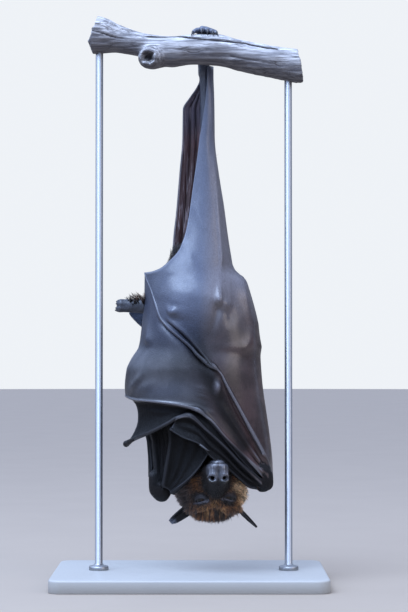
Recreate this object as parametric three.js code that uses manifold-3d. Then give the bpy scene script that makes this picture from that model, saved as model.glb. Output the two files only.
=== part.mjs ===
// A life-size model of a large fruit bat (flying fox) at rest. It hangs head down by its right foot from a
// short length of driftwood, with the right wing wrapped across the front of the body and the left wing
// folded at its side. A plain stand holds the wood by both ends. Millimetres, +Z up. The bat looks towards -Y
// and its own right side is at +X. The origin is at the centre of the underside of the base.
import * as THREE from "three";
import { mergeVertices } from "three/addons/utils/BufferGeometryUtils.js";
import Module from "manifold-3d";

const wasm = await Module();
wasm.setup();

// Driving dimensions.
const GAP = 0.35; // clearance between neighbouring solids
const MEMBRANE = 1.6; // thickness of the wing skin
const BASE = { width: 250, depth: 170, thick: 12, corner: 12 };
const ROD = { radius: 3.5, left: -84, right: 91 };
const FOOT_X = 13; // the foot that holds the wood
const HEAD_YAW = 0.12; // sideways drift of the face for each millimetre forward
const EYE = { radius: 5.0, spacing: 24.8, y: -26.4, z: 80.6, roll: 0.08 };

// ---------------------------------------------------------------- small tools

// Rows of numbers keyed by their first entry, joined by a smooth curve without overshoot.
function table(rows) {
  const up = [...rows].sort((p, q) => p[0] - q[0]);
  const slope = (i, k) => {
    if (i <= 0 || i >= up.length - 1) return 0;
    const before = (up[i][k] - up[i - 1][k]) / (up[i][0] - up[i - 1][0]);
    const after = (up[i + 1][k] - up[i][k]) / (up[i + 1][0] - up[i][0]);
    return before * after <= 0 ? 0 : (2 * before * after) / (before + after);
  };
  return (key) => {
    const at = Math.min(Math.max(key, up[0][0]), up[up.length - 1][0]);
    let i = up.findIndex((r) => r[0] >= at);
    i = Math.max(i, 1) - 1;
    const span = up[i + 1][0] - up[i][0];
    const t = (at - up[i][0]) / span;
    return up[i].slice(1).map((value, n) => {
      const k = n + 1;
      const arrive = 3 * t ** 2 - 2 * t ** 3;
      const bend = (t ** 3 - 2 * t ** 2 + t) * slope(i, k) + (t ** 3 - t ** 2) * slope(i + 1, k);
      return (1 - arrive) * value + arrive * up[i + 1][k] + bend * span;
    });
  };
}

const v3 = (p) => new THREE.Vector3(p[0], p[1], p[2]);

// A closed mesh from a grid of points: rows[i][j], each row a closed ring, with a fan over both ends.
function ringSolid(rings) {
  const sides = rings[0].length;
  const points = rings.flat();
  const middle = (ring) => ring.reduce((s, p) => s.add(p), new THREE.Vector3()).divideScalar(ring.length);
  const index = [];
  for (let i = 0; i + 1 < rings.length; i++)
    for (let j = 0; j < sides; j++) {
      const [a, b] = [i * sides + j, i * sides + ((j + 1) % sides)];
      index.push(a, b, b + sides, a, b + sides, a + sides);
    }
  const first = points.push(middle(rings[0].map((p) => p.clone()))) - 1;
  const last = points.push(middle(rings[rings.length - 1].map((p) => p.clone()))) - 1;
  const end = (rings.length - 1) * sides;
  for (let j = 0; j < sides; j++) {
    const next = (j + 1) % sides;
    index.push(first, next, j, last, end + j, end + next);
  }
  return geometry(points, index);
}

// Pushes the border of a sheet of points outwards.
function widen(grid, reach) {
  const push = (edge, inner) => edge.clone().addScaledVector(edge.clone().sub(inner).normalize(), reach);
  const rows = grid.map((row) => [push(row[0], row[1]), ...row.slice(1, -1), push(row.at(-1), row.at(-2))]);
  const first = rows[0].map((p, j) => push(p, rows[1][j]));
  const last = rows.at(-1).map((p, j) => push(p, rows.at(-2)[j]));
  return [first, ...rows.slice(1, -1), last];
}

// A closed mesh from a sheet of points, given a thickness along its normals. The thickness is a number, or
// a function of the row and column.
function sheetSolid(sheet, thick, grow = 0) {
  const grid = grow ? widen(sheet, grow) : sheet;
  const [rows, columns] = [grid.length, grid[0].length];
  const half = (i, j) => (typeof thick === "function" ? thick(i, j) : thick) / 2 + grow;
  const at = (i, j) => grid[Math.min(Math.max(i, 0), rows - 1)][Math.min(Math.max(j, 0), columns - 1)];
  const faces = [[], []];
  for (let i = 0; i < rows; i++)
    for (let j = 0; j < columns; j++) {
      const down = at(i + 1, j).clone().sub(at(i - 1, j));
      const along = at(i, j + 1).clone().sub(at(i, j - 1));
      const normal = down.cross(along).normalize();
      faces[0].push(at(i, j).clone().addScaledVector(normal, half(i, j)));
      faces[1].push(at(i, j).clone().addScaledVector(normal, -half(i, j)));
    }
  const points = faces.flat();
  const back = rows * columns;
  const index = [];
  const quad = (a, b, c, d) => index.push(a, b, c, a, c, d);
  for (let i = 0; i + 1 < rows; i++)
    for (let j = 0; j + 1 < columns; j++) {
      const a = i * columns + j;
      quad(a, a + columns, a + columns + 1, a + 1);
      quad(back + a, back + a + 1, back + a + columns + 1, back + a + columns);
    }
  for (let j = 0; j + 1 < columns; j++) {
    const end = (rows - 1) * columns + j;
    quad(j, j + 1, back + j + 1, back + j);
    quad(end + 1, end, back + end, back + end + 1);
  }
  for (let i = 0; i + 1 < rows; i++) {
    const a = i * columns;
    const b = a + columns - 1;
    quad(a + columns, a, back + a, back + a + columns);
    quad(b, b + columns, back + b + columns, back + b);
  }
  return geometry(points, index);
}

function geometry(points, index) {
  const made = new THREE.BufferGeometry().setFromPoints(points);
  made.setIndex(index);
  return made;
}

// A three.js geometry as a solid, with its faces turned outwards.
function solid(made) {
  const bare = made.clone();
  bare.deleteAttribute("normal");
  bare.deleteAttribute("uv");
  const merged = mergeVertices(bare, 1e-4);
  const triVerts = new Uint32Array(merged.index.array);
  const vertProperties = merged.attributes.position.array;
  const mesh = new wasm.Mesh({ numProp: 3, vertProperties, triVerts });
  const shape = new wasm.Manifold(mesh);
  if (shape.volume() >= 0) return shape;
  for (let i = 0; i < triVerts.length; i += 3) {
    [triVerts[i], triVerts[i + 1]] = [triVerts[i + 1], triVerts[i]];
  }
  return new wasm.Manifold(new wasm.Mesh({ numProp: 3, vertProperties, triVerts }));
}

// A limb or body: oval sections along a smooth line. Each station is [x, y, z, half width, half depth].
// side is the direction of the half width; grow swells the whole shape.
function loft(stations, { sides = 10, steps = 12, side = [1, 0, 0], grow = 0, blunt = true } = {}) {
  const line = new THREE.CatmullRomCurve3(stations.map(v3), false, "centripetal");
  const size = table(stations.map((s, i) => [i / (stations.length - 1), s[3], s[4] ?? s[3]]));
  const rings = [];
  for (let i = 0; i <= steps; i++) {
    const t = i / steps;
    const ahead = line.getTangent(t);
    const wide = v3(side).addScaledVector(ahead, -v3(side).dot(ahead)).normalize();
    const deep = ahead.clone().cross(wide).normalize();
    const [w, d] = size(t).map((value) => value + grow);
    const centre = line.getPoint(t);
    if (i === 0) centre.addScaledVector(ahead, -grow);
    if (i === steps) centre.addScaledVector(ahead, grow);
    const ring = [];
    for (let j = 0; j < sides; j++) {
      const turn = (2 * Math.PI * (j + 0.5)) / sides;
      const aside = centre.clone().addScaledVector(wide, w * Math.cos(turn));
      ring.push(aside.addScaledVector(deep, d * Math.sin(turn)));
    }
    rings.push(ring);
  }
  if (blunt) {
    const dome = (ring, dir, end) => {
      const centre = ring.reduce((s, p) => s.add(p), new THREE.Vector3()).divideScalar(ring.length);
      const reach = 0.35 * ring[0].distanceTo(centre);
      return ring.map((p) => p.clone().lerp(centre, 0.35).addScaledVector(dir, end * reach));
    };
    rings.unshift(dome(rings[0], line.getTangent(0), -1));
    rings.push(dome(rings[rings.length - 1], line.getTangent(1), 1));
  }
  return solid(ringSolid(rings));
}

// ---------------------------------------------------------------- the wrapped form of the wings

// Level sections of the cloak that the right wing makes round the body, by height: its left edge, its right
// edge, and its centre of depth with its reach forward and back.
const cloakLeft = table([
  [482, 6.5], [444, 5.5], [406, 0], [380, -6], [345, -14], [308, -27], [286, -43], [262, -44.5], [245, -46],
  [229, -47.3], [217, -50], [207, -56.5], [196, -60.4], [172, -61], [150, -60.5], [128, -60], [98, -59],
  [80, -56],
]);
const cloakRight = table([
  [482, 21.5], [455, 21.3], [427, 20.3], [410, 19.4], [380, 22.8], [345, 28.5], [308, 34.9], [293, 38.5],
  [285, 42.8], [282.5, 46.5], [279, 50], [268, 53.7], [258, 56.5], [247, 59.3], [233, 62.2], [222, 64.7],
  [217, 65.8], [212, 64.8], [200, 65.4], [182, 66.8], [158, 70.1], [138, 73], [110, 75.9], [98, 76.3],
  [80, 72],
]);
const cloakDepth = table([
  [482, 20, 8, 7], [444, 20, 9, 8], [406, 19, 12, 10], [380, 18, 16, 13], [345, 16, 22, 17],
  [308, 13, 31, 24], [286, 10, 39, 28], [262, 8, 49, 31], [245, 6, 49, 33], [217, 4, 49, 34],
  [196, 3, 52, 35], [172, 2, 53, 35],
  [150, 1, 53, 34], [128, 0, 53, 32], [110, 0, 52, 30], [98, 0, 50, 28], [80, 0, 46, 26],
]);
const cloak = (z) => [...cloakLeft(z), ...cloakRight(z), ...cloakDepth(z)];

// The same for the left wing, which lies under the right one.
const underCloak = table([
  [300, -38, 40, 12, 28, 26],
  [266, -42, 44, 10, 36, 30],
  [225, -43.5, 52, 8, 38, 33],
  [180, -50, 58, 5, 40, 34],
  [150, -45, 60, 3, 41, 33],
  [130, -39, 62, 2, 42, 31],
  [100, -38, 64, 0, 41, 28],
  [86, -39, 64, -1, 40, 26],
  [72, -33, 60, -1, 36, 24],
]);

const rad = (degrees) => (degrees * Math.PI) / 180;

// The point of a cloak at an angle from straight ahead (towards +X) and a height.
function wrapped(form, degrees, z, lift = 0) {
  const [left, right, middle, front, back] = form(z);
  const reach = Math.abs(degrees) < 90 ? front : back;
  const half = (right - left) / 2;
  const x = (left + right) / 2 + (half + lift) * Math.sin(rad(degrees));
  return new THREE.Vector3(x, middle - (reach + lift) * Math.cos(rad(degrees)), z);
}

// The angle on the front of a cloak that lies at x at that height.
function angleAt(form, x, z) {
  const [left, right] = form(z);
  const share = (2 * x - left - right) / (right - left);
  return (Math.asin(Math.min(Math.max(share, -1), 1)) * 180) / Math.PI;
}

// A line over a cloak. Its points are [x, z] on the front, or [degrees, z, "turn"] for a stated angle.
function routeOver(form, points) {
  const flat = points.map((p) => new THREE.Vector3(p[2] ? p[0] : angleAt(form, p[0], p[1]), p[1], 0));
  return new THREE.CatmullRomCurve3(flat, false, "centripetal");
}

// Joins four edge lines into a grid of [degrees, height]: top and foot run left to right, and the two
// sides run from top to foot. The rows are even, or at the shares of the height that are listed.
function patch(top, foot, left, right, rows, columns) {
  const levels = Array.isArray(rows) ? rows : [...Array(rows + 1).keys()].map((i) => i / rows);
  const made = [];
  for (const v of levels) {
    const row = [];
    for (let j = 0; j <= columns; j++) {
      const u = j / columns;
      const p = top.getPoint(u).multiplyScalar(1 - v).addScaledVector(foot.getPoint(u), v);
      p.addScaledVector(left.getPoint(v), 1 - u).addScaledVector(right.getPoint(v), u);
      p.addScaledVector(top.getPoint(0), -(1 - u) * (1 - v)).addScaledVector(top.getPoint(1), -u * (1 - v));
      p.addScaledVector(foot.getPoint(0), -(1 - u) * v).addScaledVector(foot.getPoint(1), -u * v);
      row.push(p);
    }
    made.push(row);
  }
  return made;
}

// A rounded swelling over a spot, from 1 at its middle to 0 at its edge.
const swell = (dx, dz) => Math.exp(-(dx * dx + dz * dz));

// What presses the right wing outwards from inside: the folded left knee, shin and heel, and the elbow.
function press(x, z) {
  const knee = 6 * swell((x - 30) / 9, (z - 256) / (z > 256 ? 22 : 7));
  const heel = 4 * swell((x + 17) / 8, (z - 250) / 8);
  const shin = x > -30 && x < 40 ? 3 * swell(0, (z - 254) / 9) : 0;
  const elbow = 3.5 * swell((x - 48) / 9, (z - 276) / 10);
  const hollow = -7 * swell((x - 8) / 34, (z - 222) / 20);
  return knee + heel + shin + elbow + hollow;
}

function sheetOver(form, grid, grow, depth = () => 0) {
  const points = grid.map((row) =>
    row.map((p) => {
      const at = wrapped(form, p.x, p.y);
      return wrapped(form, p.x, p.y, depth(at.x, at.z, p));
    }),
  );
  return solid(sheetSolid(points, MEMBRANE, grow));
}

// The folded hand of a wing: strips of skin, one after another, between fingers that lie in a cloak. Each
// strip has a top finger, a foot finger, a free edge, a wrist edge and the depth of the fold in its middle.
const LEVELS = [0, 0.12, 0.5, 0.88, 1];
function fan(form, strips, columns, grow) {
  const grid = [];
  const halves = [];
  strips.forEach(({ top, foot, free, wrist, dip = 0 }, n) => {
    const rows = patch(top.line, foot.line, free, wrist, LEVELS, columns);
    rows.forEach((row, i) => {
      if (i === 0 && n > 0) return;
      const sunk = -dip * Math.sin(Math.PI * LEVELS[i]);
      grid.push(row.map((p) => wrapped(form, p.x, p.y, sunk)));
      const bone = i === 0 ? top : i === LEVELS.length - 1 ? foot : null;
      halves.push(row.map((p, j) => (bone ? 2 * bone.size(j / columns)[0] : MEMBRANE)));
    });
  });
  return solid(sheetSolid(grid, (i, j) => halves[i][j], grow));
}
const finger = (line, radii) => ({ line, size: table(radii.map((r, i) => [i / (radii.length - 1), r])) });
const join = (a, b) => new THREE.LineCurve3(a, b);
const ends = (top, foot) => ({
  free: join(top.line.getPoint(0), foot.line.getPoint(0)),
  wrist: join(top.line.getPoint(1), foot.line.getPoint(1)),
});

// ---------------------------------------------------------------- right wing: routes of its fingers

const RIGHT = {
  fifth: [
    [-41.3, 286.2], [-36, 272], [-31, 257], [-25.4, 241.7], [-1, 218.5], [17, 202], [27, 194.5], [34, 181.8],
    [56.8, 139.5], [72, 107],
  ],
  fourth: [
    [-58.3, 172.6], [-52, 170], [-31.5, 168.2], [-10, 165.6], [7, 161], [18.4, 152.3], [32.2, 136.4],
    [51.3, 117.2], [69, 98],
  ],
  third: [
    [-58.3, 128.2], [-37, 139.5], [-21, 148], [-10.5, 154], [0, 155.5], [16.3, 141.7], [32.2, 126.8],
    [48.1, 109.8], [66, 93],
  ],
  hem: [
    [-18, 143.2], [-6, 136], [10.5, 129], [20, 118], [32.2, 109.8], [42.8, 100.3], [53.5, 90.7], [63, 87],
  ],
};
const rightRoute = Object.fromEntries(Object.entries(RIGHT).map(([k, p]) => [k, routeOver(cloak, p)]));
const WRIST_RIGHT = [68, -19, 94];
const ELBOW_RIGHT = [45.5, 17, 279];

function rightArmSkin(grow) {
  const trailing = [
    [16.5, 480], [15.2, 458], [12, 430], [7.3, 394.7], [2.3, 359.2], [-1.2, 335.2], [-4.5, 320],
    [-13.6, 301.2], [-24.2, 291.2], [-32.6, 287.3], [-41.3, 286.2],
  ];
  const outer = [
    [118, 480, 1], [120, 450, 1], [124, 400, 1], [132, 340, 1], [142, 290, 1], [148, 245, 1], [150, 200, 1],
    [148, 160, 1], [144, 124, 1],
  ];
  const round = [[78, 99, 1], [98, 97, 1], [122, 107, 1], [144, 124, 1]];
  const grid = patch(
    routeOver(cloak, [[16.5, 480], [40, 480, 1], [66, 480, 1], [92, 480, 1], [118, 480, 1]]),
    routeOver(cloak, [...RIGHT.fifth, ...round]),
    routeOver(cloak, trailing),
    routeOver(cloak, outer),
    10,
    11,
  );
  return sheetOver(cloak, grid, grow, press);
}

function rightHand(grow) {
  const fifth = finger(rightRoute.fifth, [0.9, 1.2, 1.6, 2.4, 2.0, 2.2, 3.2]);
  const fourth = finger(rightRoute.fourth, [1.0, 1.6, 2.0, 2.6, 2.0, 2.2, 3.2]);
  const third = finger(rightRoute.third, [2.6, 1.8, 2.4, 3.0, 2.2, 2.4, 3.2]);
  const upperFree = routeOver(cloak, [
    [-41.3, 286.2], [-42, 270], [-43, 257], [-44.5, 244], [-46, 231], [-48, 218], [-54.5, 207], [-59, 196],
    [-60, 183], [-58.3, 172.6],
  ]);
  const foldFree = routeOver(cloak, [
    [-58.3, 172.6], [-54.4, 163], [-53.3, 152], [-54.4, 143], [-58.3, 128.2],
  ]);
  const strips = [
    { top: fifth, foot: fourth, ...ends(fifth, fourth), free: upperFree, dip: 1.5 },
    { top: fourth, foot: third, ...ends(fourth, third), free: foldFree, dip: 7 },
  ];
  // The lowest strip hangs from the inner part of the third finger only.
  const inner = [0.36, 0.5, 0.62, 0.75, 0.88, 1].map((t) => third.line.getPoint(t));
  const thirdInner = finger(new THREE.CatmullRomCurve3(inner, false, "centripetal"), [2.4, 3, 2.4, 2.4, 3.2]);
  const second = finger(rightRoute.hem, [1.2, 1.6, 1.8, 2.0, 2.4, 3.0]);
  const hem = [{ top: thirdInner, foot: second, ...ends(thirdInner, second), dip: 2 }];
  const wrist = [
    [62, -25, 109, 5, 5], [69.5, -20, 101, 8, 7.6], [69, -17, 93, 9, 8.4], [67, -16.5, 87, 7, 6.6],
  ];
  const lobe = loft(wrist, { steps: 3, sides: 8, grow });
  return fan(cloak, strips, 9, grow).add(fan(cloak, hem, 6, grow)).add(lobe);
}

// ---------------------------------------------------------------- left wing

const LEFT = {
  fourth: [[-66, 228, 1], [-62, 196, 1], [-62, 170, 1], [-60, 130, 1], [-58, 92, 1]],
  third: [[-24, 196, 1], [-26, 170, 1], [-32, 140, 1], [-40, 112, 1], [-48, 88, 1]],
  hem: [[14, 150, 1], [12, 132, 1], [-1, 112, 1], [-17, 96, 1], [-34, 84, 1]],
};
const LEFT_FIFTH = [[-88, 232, 1], [-90, 205, 1], [-82, 170, 1], [-76, 130, 1], [-68, 96, 1]];
const leftRoute = Object.fromEntries(Object.entries(LEFT).map(([k, p]) => [k, routeOver(underCloak, p)]));
const WRIST_LEFT = [-27, -17, 88];
const ELBOW_LEFT = [-33, 21, 262];

// The free left foot draws the edge of this skin outwards.
const heldOut = (x, z, p) => 14 * swell((p.x + 88) / 22, (z - 251) / 12) - 1;

function leftArmSkin(grow) {
  const top = routeOver(underCloak, [[-88, 250, 1], [-108, 256, 1], [-146, 276, 1]]);
  const foot = routeOver(underCloak, [[-68, 96, 1], [-96, 100, 1], [-146, 128, 1]]);
  const near = routeOver(underCloak, [
    [-88, 250, 1], [-90, 225, 1], [-88, 190, 1], [-82, 160, 1], [-76, 130, 1], [-68, 96, 1],
  ]);
  const back = routeOver(underCloak, [[-146, 276, 1], [-148, 200, 1], [-146, 128, 1]]);
  return sheetOver(underCloak, patch(top, foot, near, back, 7, 4), grow, heldOut);
}

function leftHand(grow) {
  const fifth = finger(routeOver(underCloak, LEFT_FIFTH), [1.0, 1.6, 2.2, 2.2, 3.0]);
  const fourth = finger(leftRoute.fourth, [1.2, 2.2, 2.0, 2.2, 3.0]);
  const third = finger(leftRoute.third, [1.4, 2.0, 2.2, 2.4, 3.0]);
  const second = finger(leftRoute.hem, [1.2, 1.6, 2.0, 2.4, 2.8]);
  const strips = [
    { top: fifth, foot: fourth, ...ends(fifth, fourth), dip: 2 },
    { top: fourth, foot: third, ...ends(fourth, third), dip: 4 },
    { top: third, foot: second, ...ends(third, second), dip: 3 },
  ];
  const wrist = [
    [-33, -21, 99, 6.2, 6.2], [-30, -18, 91, 8.8, 8.5], [-26.5, -17, 84.5, 9, 8.6], [-24, -16, 79, 7, 6.6],
  ];
  const lobe = loft(wrist, { steps: 3, sides: 8, grow });
  return fan(underCloak, strips, 6, grow).add(lobe);
}

// ---------------------------------------------------------------- body

const TRUNK = [
  [7, 15, 322, 7, 6], [5, 14, 312, 16, 14], [1, 12, 292, 27, 23], [1.5, 10, 262, 34, 29], [4, 9, 235, 40, 33],
  [7, 9, 205, 43, 35], [10, 9, 175, 44, 36], [13, 9, 150, 42, 35], [15, 9, 128, 39, 33],
];
const NECK = [[15, 9, 127, 38, 33], [17, 9, 112, 35, 31], [18.5, 10, 98, 32, 28]];
const trunk = (grow) => loft(TRUNK, { sides: 10, steps: 6, grow });
const neck = (grow) => loft(NECK, { sides: 11, steps: 2, grow, blunt: false });

// Stations of the head from the nape to the nose: y, height, half width, half height.
const HEAD = [
  [38, 88, 9, 8], [34, 87, 18, 17], [24, 85.5, 29, 27], [10, 85, 34, 30.5], [-3, 85.5, 34.5, 31],
  [-13, 87, 31.5, 28.5], [-21, 89.5, 25.5, 23], [-28, 93, 18.5, 17.5], [-36, 99.5, 13.4, 14],
  [-45, 104, 12, 13], [-51, 105, 10.8, 11.6],
  [-55.5, 104.5, 7.8, 7.6], [-57, 104.5, 4, 3.8],
];
const headX = (y) => 19.4 - HEAD_YAW * y;
function head(grow) {
  const stations = HEAD.map(([y, z, w, h]) => [headX(y), y, z, w, h]);
  const whole = loft(stations, { sides: 11, steps: 11, grow, blunt: false });
  return whole.subtract(eyeSocket(1)).subtract(eyeSocket(-1));
}

// An ear: a hollow leaf that stands out of the fur, from root to tip. Its hollow faces open and is deep.
function ear({ root, tip, open, deep }, grow) {
  const [from, to] = [v3(root), v3(tip)];
  const along = to.clone().sub(from);
  const face = v3(open).addScaledVector(along, -v3(open).dot(along) / along.lengthSq()).normalize();
  const across = along.clone().normalize().cross(face);
  const shape = table([[0, 5.6, 4.2], [0.25, 6.8, 3.8], [0.6, 5.6, 2.7], [0.88, 3.5, 1.6], [1, 1.8, 0.9]]);
  const grid = [];
  for (let i = 0; i <= 4; i++) {
    const [half, cup] = shape(i / 4);
    const row = [];
    for (let j = 0; j <= 4; j++) {
      const s = j / 2 - 1;
      const middle = from.clone().addScaledVector(along, i / 4);
      row.push(middle.addScaledVector(across, s * half).addScaledVector(face, deep * cup * s * s));
    }
    grid.push(row);
  }
  return solid(sheetSolid(grid, 1.5, grow));
}

const EARS = {
  right: { root: [41, 1, 70], tip: [60.3, 4, 51.8], open: [0.75, 0.06, 0.65], deep: 0.45 },
  left: { root: [-0.5, -2, 72], tip: [-18.2, -4, 56.3], open: [0.62, -0.85, -0.5], deep: 1 },
};

function ball(radius, at) {
  const round = new THREE.SphereGeometry(radius, 8, 5);
  round.translate(at.x, at.y, at.z);
  return solid(round);
}

function eyeMiddle(side) {
  const aside = (side * EYE.spacing) / 2;
  return new THREE.Vector3(headX(EYE.y) + 0.6 + aside, EYE.y, EYE.z + aside * EYE.roll);
}

const eye = (side, grow) => ball(EYE.radius + grow, eyeMiddle(side));

// The hollow in the coat in front of an eye.
function eyeSocket(side) {
  const out = new THREE.Vector3(0.42 * side, -0.86, -0.28).normalize();
  return ball(EYE.radius, eyeMiddle(side).addScaledVector(out, EYE.radius + 1));
}

// ---------------------------------------------------------------- legs and feet

const HIP = { right: [9, 15, 306], left: [-6, 13, 300] };
const KNEE = { right: [17, 23, 388], left: [29, -25, 254] };
const ANKLE = { right: [12.5, 20.5, 476], left: [-43, -3, 255] };

// A limb between two joints, thickest a little below its start.
function limb(from, to, radii, grow) {
  const stations = radii.map((r, i) => {
    const at = v3(from).lerp(v3(to), i / (radii.length - 1));
    return [at.x, at.y, at.z, r, r];
  });
  return loft(stations, { grow, steps: 4, sides: 7, side: [0.9, 0.3, 0.1] });
}

// The toes of the holding foot come up behind the wood, arch over it and spread. The free foot's are closed.
const TOES = 5;
const WOOD = { y: 0, z: 493.3 }; // middle of the wood where the foot holds it
const TOE_X = [3.0, 11.4, 16.2, 20.6, 24.4]; // where each toe of the holding foot ends
const TOE_DROP = [3.0, 0.4, 0.9, 2.2, 3.4]; // how much lower each ends than a toe that stays level
const FREE_TOE_TIP = [-68.0, -67.6, -66.6, -67.2, -67.0]; // how far out each toe of the free foot reaches
function aroundWood(x, degrees, r) {
  return [x, WOOD.y + r * Math.cos(rad(degrees)), WOOD.z + r * Math.sin(rad(degrees))];
}
const sized = (points, radii, share = 1) => points.map((p, i) => [...p, radii[i] * share, radii[i] * share]);

function holdingToe(n, grow) {
  const over = [[28, 19.4, 0.2], [55, 20.1, 0.42], [80, 20.1, 0.64], [103, 19.6, 0.93], [112, 18.8, 1]];
  const line = over.map(([degrees, reach, share]) =>
    aroundWood(FOOT_X + (TOE_X[n] - FOOT_X) * share, degrees, reach - TOE_DROP[n] * share),
  );
  const stations = sized(line, [2.7, 2.8, 2.6, 2.2, 1.8], 1 - 0.06 * TOE_DROP[n]);
  return loft(stations, { sides: 5, steps: 3, grow, side: [0.3, 0.9, 0.2], blunt: false });
}

function freeToe(n, grow) {
  const [tip, y, z] = [FREE_TOE_TIP[n], -3.8 + 0.7 * (-1) ** n, 255.6 + (n - 2) * 2];
  const line = [[-54, y, z], [tip + 7, y, z], [tip + 3.4, y, z], [tip + 0.6, y + 1.6, z]];
  return loft(sized(line, [2.2, 2.1, 2.2, 1.7]), { sides: 5, steps: 2, grow, side: [0, 1, 0], blunt: false });
}

function holdingClaw(n) {
  const reach = 18.8 - TOE_DROP[n];
  const turns = [[111, reach + 0.4], [119, reach + 1.3], [127, reach + 0.2], [133, 14.9]];
  return turns.map(([degrees, r], k) => aroundWood(TOE_X[n] + (n - 2) * k * 0.3, degrees, Math.max(r, 14.9)));
}

function freeClaw(n) {
  const [x, y, z] = [FREE_TOE_TIP[n], -3.8 + 0.7 * (-1) ** n, 255.6 + (n - 2) * 2];
  return [
    [x + 0.4, y + 3.4, z], [x - 0.3, y + 6, z - 0.2], [x + 1.2, y + 8.6, z - 0.5],
    [x + 4.4, y + 9.8, z - 0.8],
  ];
}

function claw(points, grow, thick = 1) {
  const stations = sized(points, [1.25, 1.1, 0.8, 0.35], thick);
  return loft(stations, { sides: 5, steps: 3, grow, side: [0.3, 0.9, 0.2], blunt: false });
}

function foot(palm, toe, grow) {
  let whole = palm;
  for (let n = 0; n < TOES; n++) whole = whole.add(toe(n, grow));
  return whole;
}

function footRight(grow) {
  const palm = [
    [12.5, 20.5, 473, 5, 5], [12.8, 21, 482, 5.4, 4.6], [13, 20.6, 492, 6, 4.6], [13.2, 19.5, 500, 6.4, 4.4],
    [13.6, 16.8, 506.5, 6.6, 3.6],
  ];
  return foot(loft(palm, { steps: 4, sides: 8, grow }), holdingToe, grow);
}

// The free foot, with the hair that stands on its ankle.
function footLeft(grow) {
  const palm = [
    [-41, -3, 255, 5, 5], [-47, -3.2, 255.2, 4.4, 5.4], [-53, -3.6, 255.5, 3.6, 5.8],
    [-58, -3.8, 255.6, 2.4, 5.4],
  ];
  const hair = [[-40, -3, 264, 3.5, 6.5], [-47, -3.2, 262.5, 3.5, 5.5], [-54, -3.6, 259.6, 2.6, 3.4]];
  const options = { steps: 3, sides: 8, grow, side: [0, 1, 0] };
  return foot(loft(palm, options), freeToe, grow).add(loft(hair, { ...options, steps: 2, sides: 6 }));
}

// The narrow skin along the inner side of the holding leg, from the heel spur to the rump.
function legSkin(grow) {
  const outer = table([
    [468, 9.3, 20.5], [461, 6.5, 21], [452, 0.2, 22], [441, -6.6, 24], [412, -7.2, 25], [383, -9.7, 25],
    [348, -12.6, 23], [308, -16.1, 18], [299, -15.4, 16],
  ]);
  const grid = [];
  for (let i = 0; i <= 9; i++) {
    const z = 468 - (169 * i) / 9;
    const [x, y] = outer(z);
    const leg = v3(ANKLE.right).lerp(v3(KNEE.right), (476 - z) / 88);
    const thigh = v3(KNEE.right).lerp(v3(HIP.right), (388 - z) / 82);
    const inner = z > 388 ? leg : thigh;
    const row = [];
    for (let j = 0; j <= 3; j++) {
      const t = j / 3;
      const back = y + (inner.y - y) * t + 4 * Math.sin(Math.PI * t);
      row.push(new THREE.Vector3(x + (inner.x - x) * t, back, z));
    }
    grid.push(row);
  }
  return solid(sheetSolid(grid, MEMBRANE, grow));
}

// ---------------------------------------------------------------- arms and thumbs

const SHOULDER = { right: [44, 8, 150], left: [-20, 10, 152] };
const arm = (from, to, radii) => (grow) => limb(from, to, radii, grow);
const THUMB = {
  right: [[64, -14, 92], [60, 0, 96], [56, 12, 106], [53, 17, 116]],
  left: [[-26, -12, 86], [-23, 2, 92], [-21, 13, 102], [-20, 18, 112]],
};
const thumb = (points, grow) => loft(sized(points, [4, 3.4, 2.8, 2.2]), { steps: 4, sides: 6, grow });
function hook(points) {
  const [x, y, z] = points[3];
  return [[x, y, z], [x - 1, y + 1.5, z + 4], [x - 2, y - 0.5, z + 7.5], [x - 2.5, y - 4, z + 9]];
}
const INDEX_CLAW = [[9.5, -53, 130], [13, -54.5, 127.4], [16, -54.6, 125.2], [18, -53.5, 124.6]];

// ---------------------------------------------------------------- wood and stand

const WOOD_STATIONS = [
  [-92, 0, 507, 15, 16.5], [-88, 0, 507, 17.5, 17.5], [-80, 0, 506.3, 16.5, 16.4], [-66, 0, 503.2, 13.4, 13],
  [-46, 0, 497.8, 12, 11.2], [-30, 0, 493, 13, 13], [-17, 0, 491.5, 14.2, 14.2], [3, 0, 493.4, 13.8, 13.8],
  [23, 0, 493, 14.6, 14.6], [47, 0, 487.7, 14.5, 14.5], [68, 0, 483.3, 14.7, 14.7], [87, 0, 479.9, 15, 15],
  [102, 0, 478, 16, 15.6],
];
function perch(grow) {
  const main = loft(WOOD_STATIONS, { sides: 10, steps: 14, side: [0, 1, 0], grow, blunt: false });
  const knot = [[-32, 4, 490, 12.5, 12.5], [-34, -8, 484, 12, 12], [-35, -17, 481.8, 11, 11.2]];
  return main.add(loft(knot, { sides: 9, steps: 2, grow, blunt: false }));
}

function base() {
  const { width, depth, thick, corner } = BASE;
  const [x, y] = [width / 2, depth / 2];
  const outline = new THREE.Shape();
  outline.moveTo(-x + corner, -y);
  outline.lineTo(x - corner, -y);
  outline.absarc(x - corner, -y + corner, corner, -Math.PI / 2, 0);
  outline.absarc(x - corner, y - corner, corner, 0, Math.PI / 2);
  outline.absarc(-x + corner, y - corner, corner, Math.PI / 2, Math.PI);
  outline.absarc(-x + corner, -y + corner, corner, Math.PI, 1.5 * Math.PI);
  const plate = new THREE.ExtrudeGeometry(outline, { depth: thick, bevelEnabled: false, curveSegments: 4 });
  return solid(plate);
}
const rod = (x, grow) => {
  const top = 492;
  const bar = new THREE.CylinderGeometry(ROD.radius + grow, ROD.radius + grow, top - BASE.thick - GAP, 12);
  bar.rotateX(Math.PI / 2);
  bar.translate(x, 0, (top + BASE.thick + GAP) / 2);
  return solid(bar);
};

// ---------------------------------------------------------------- assembly

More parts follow.
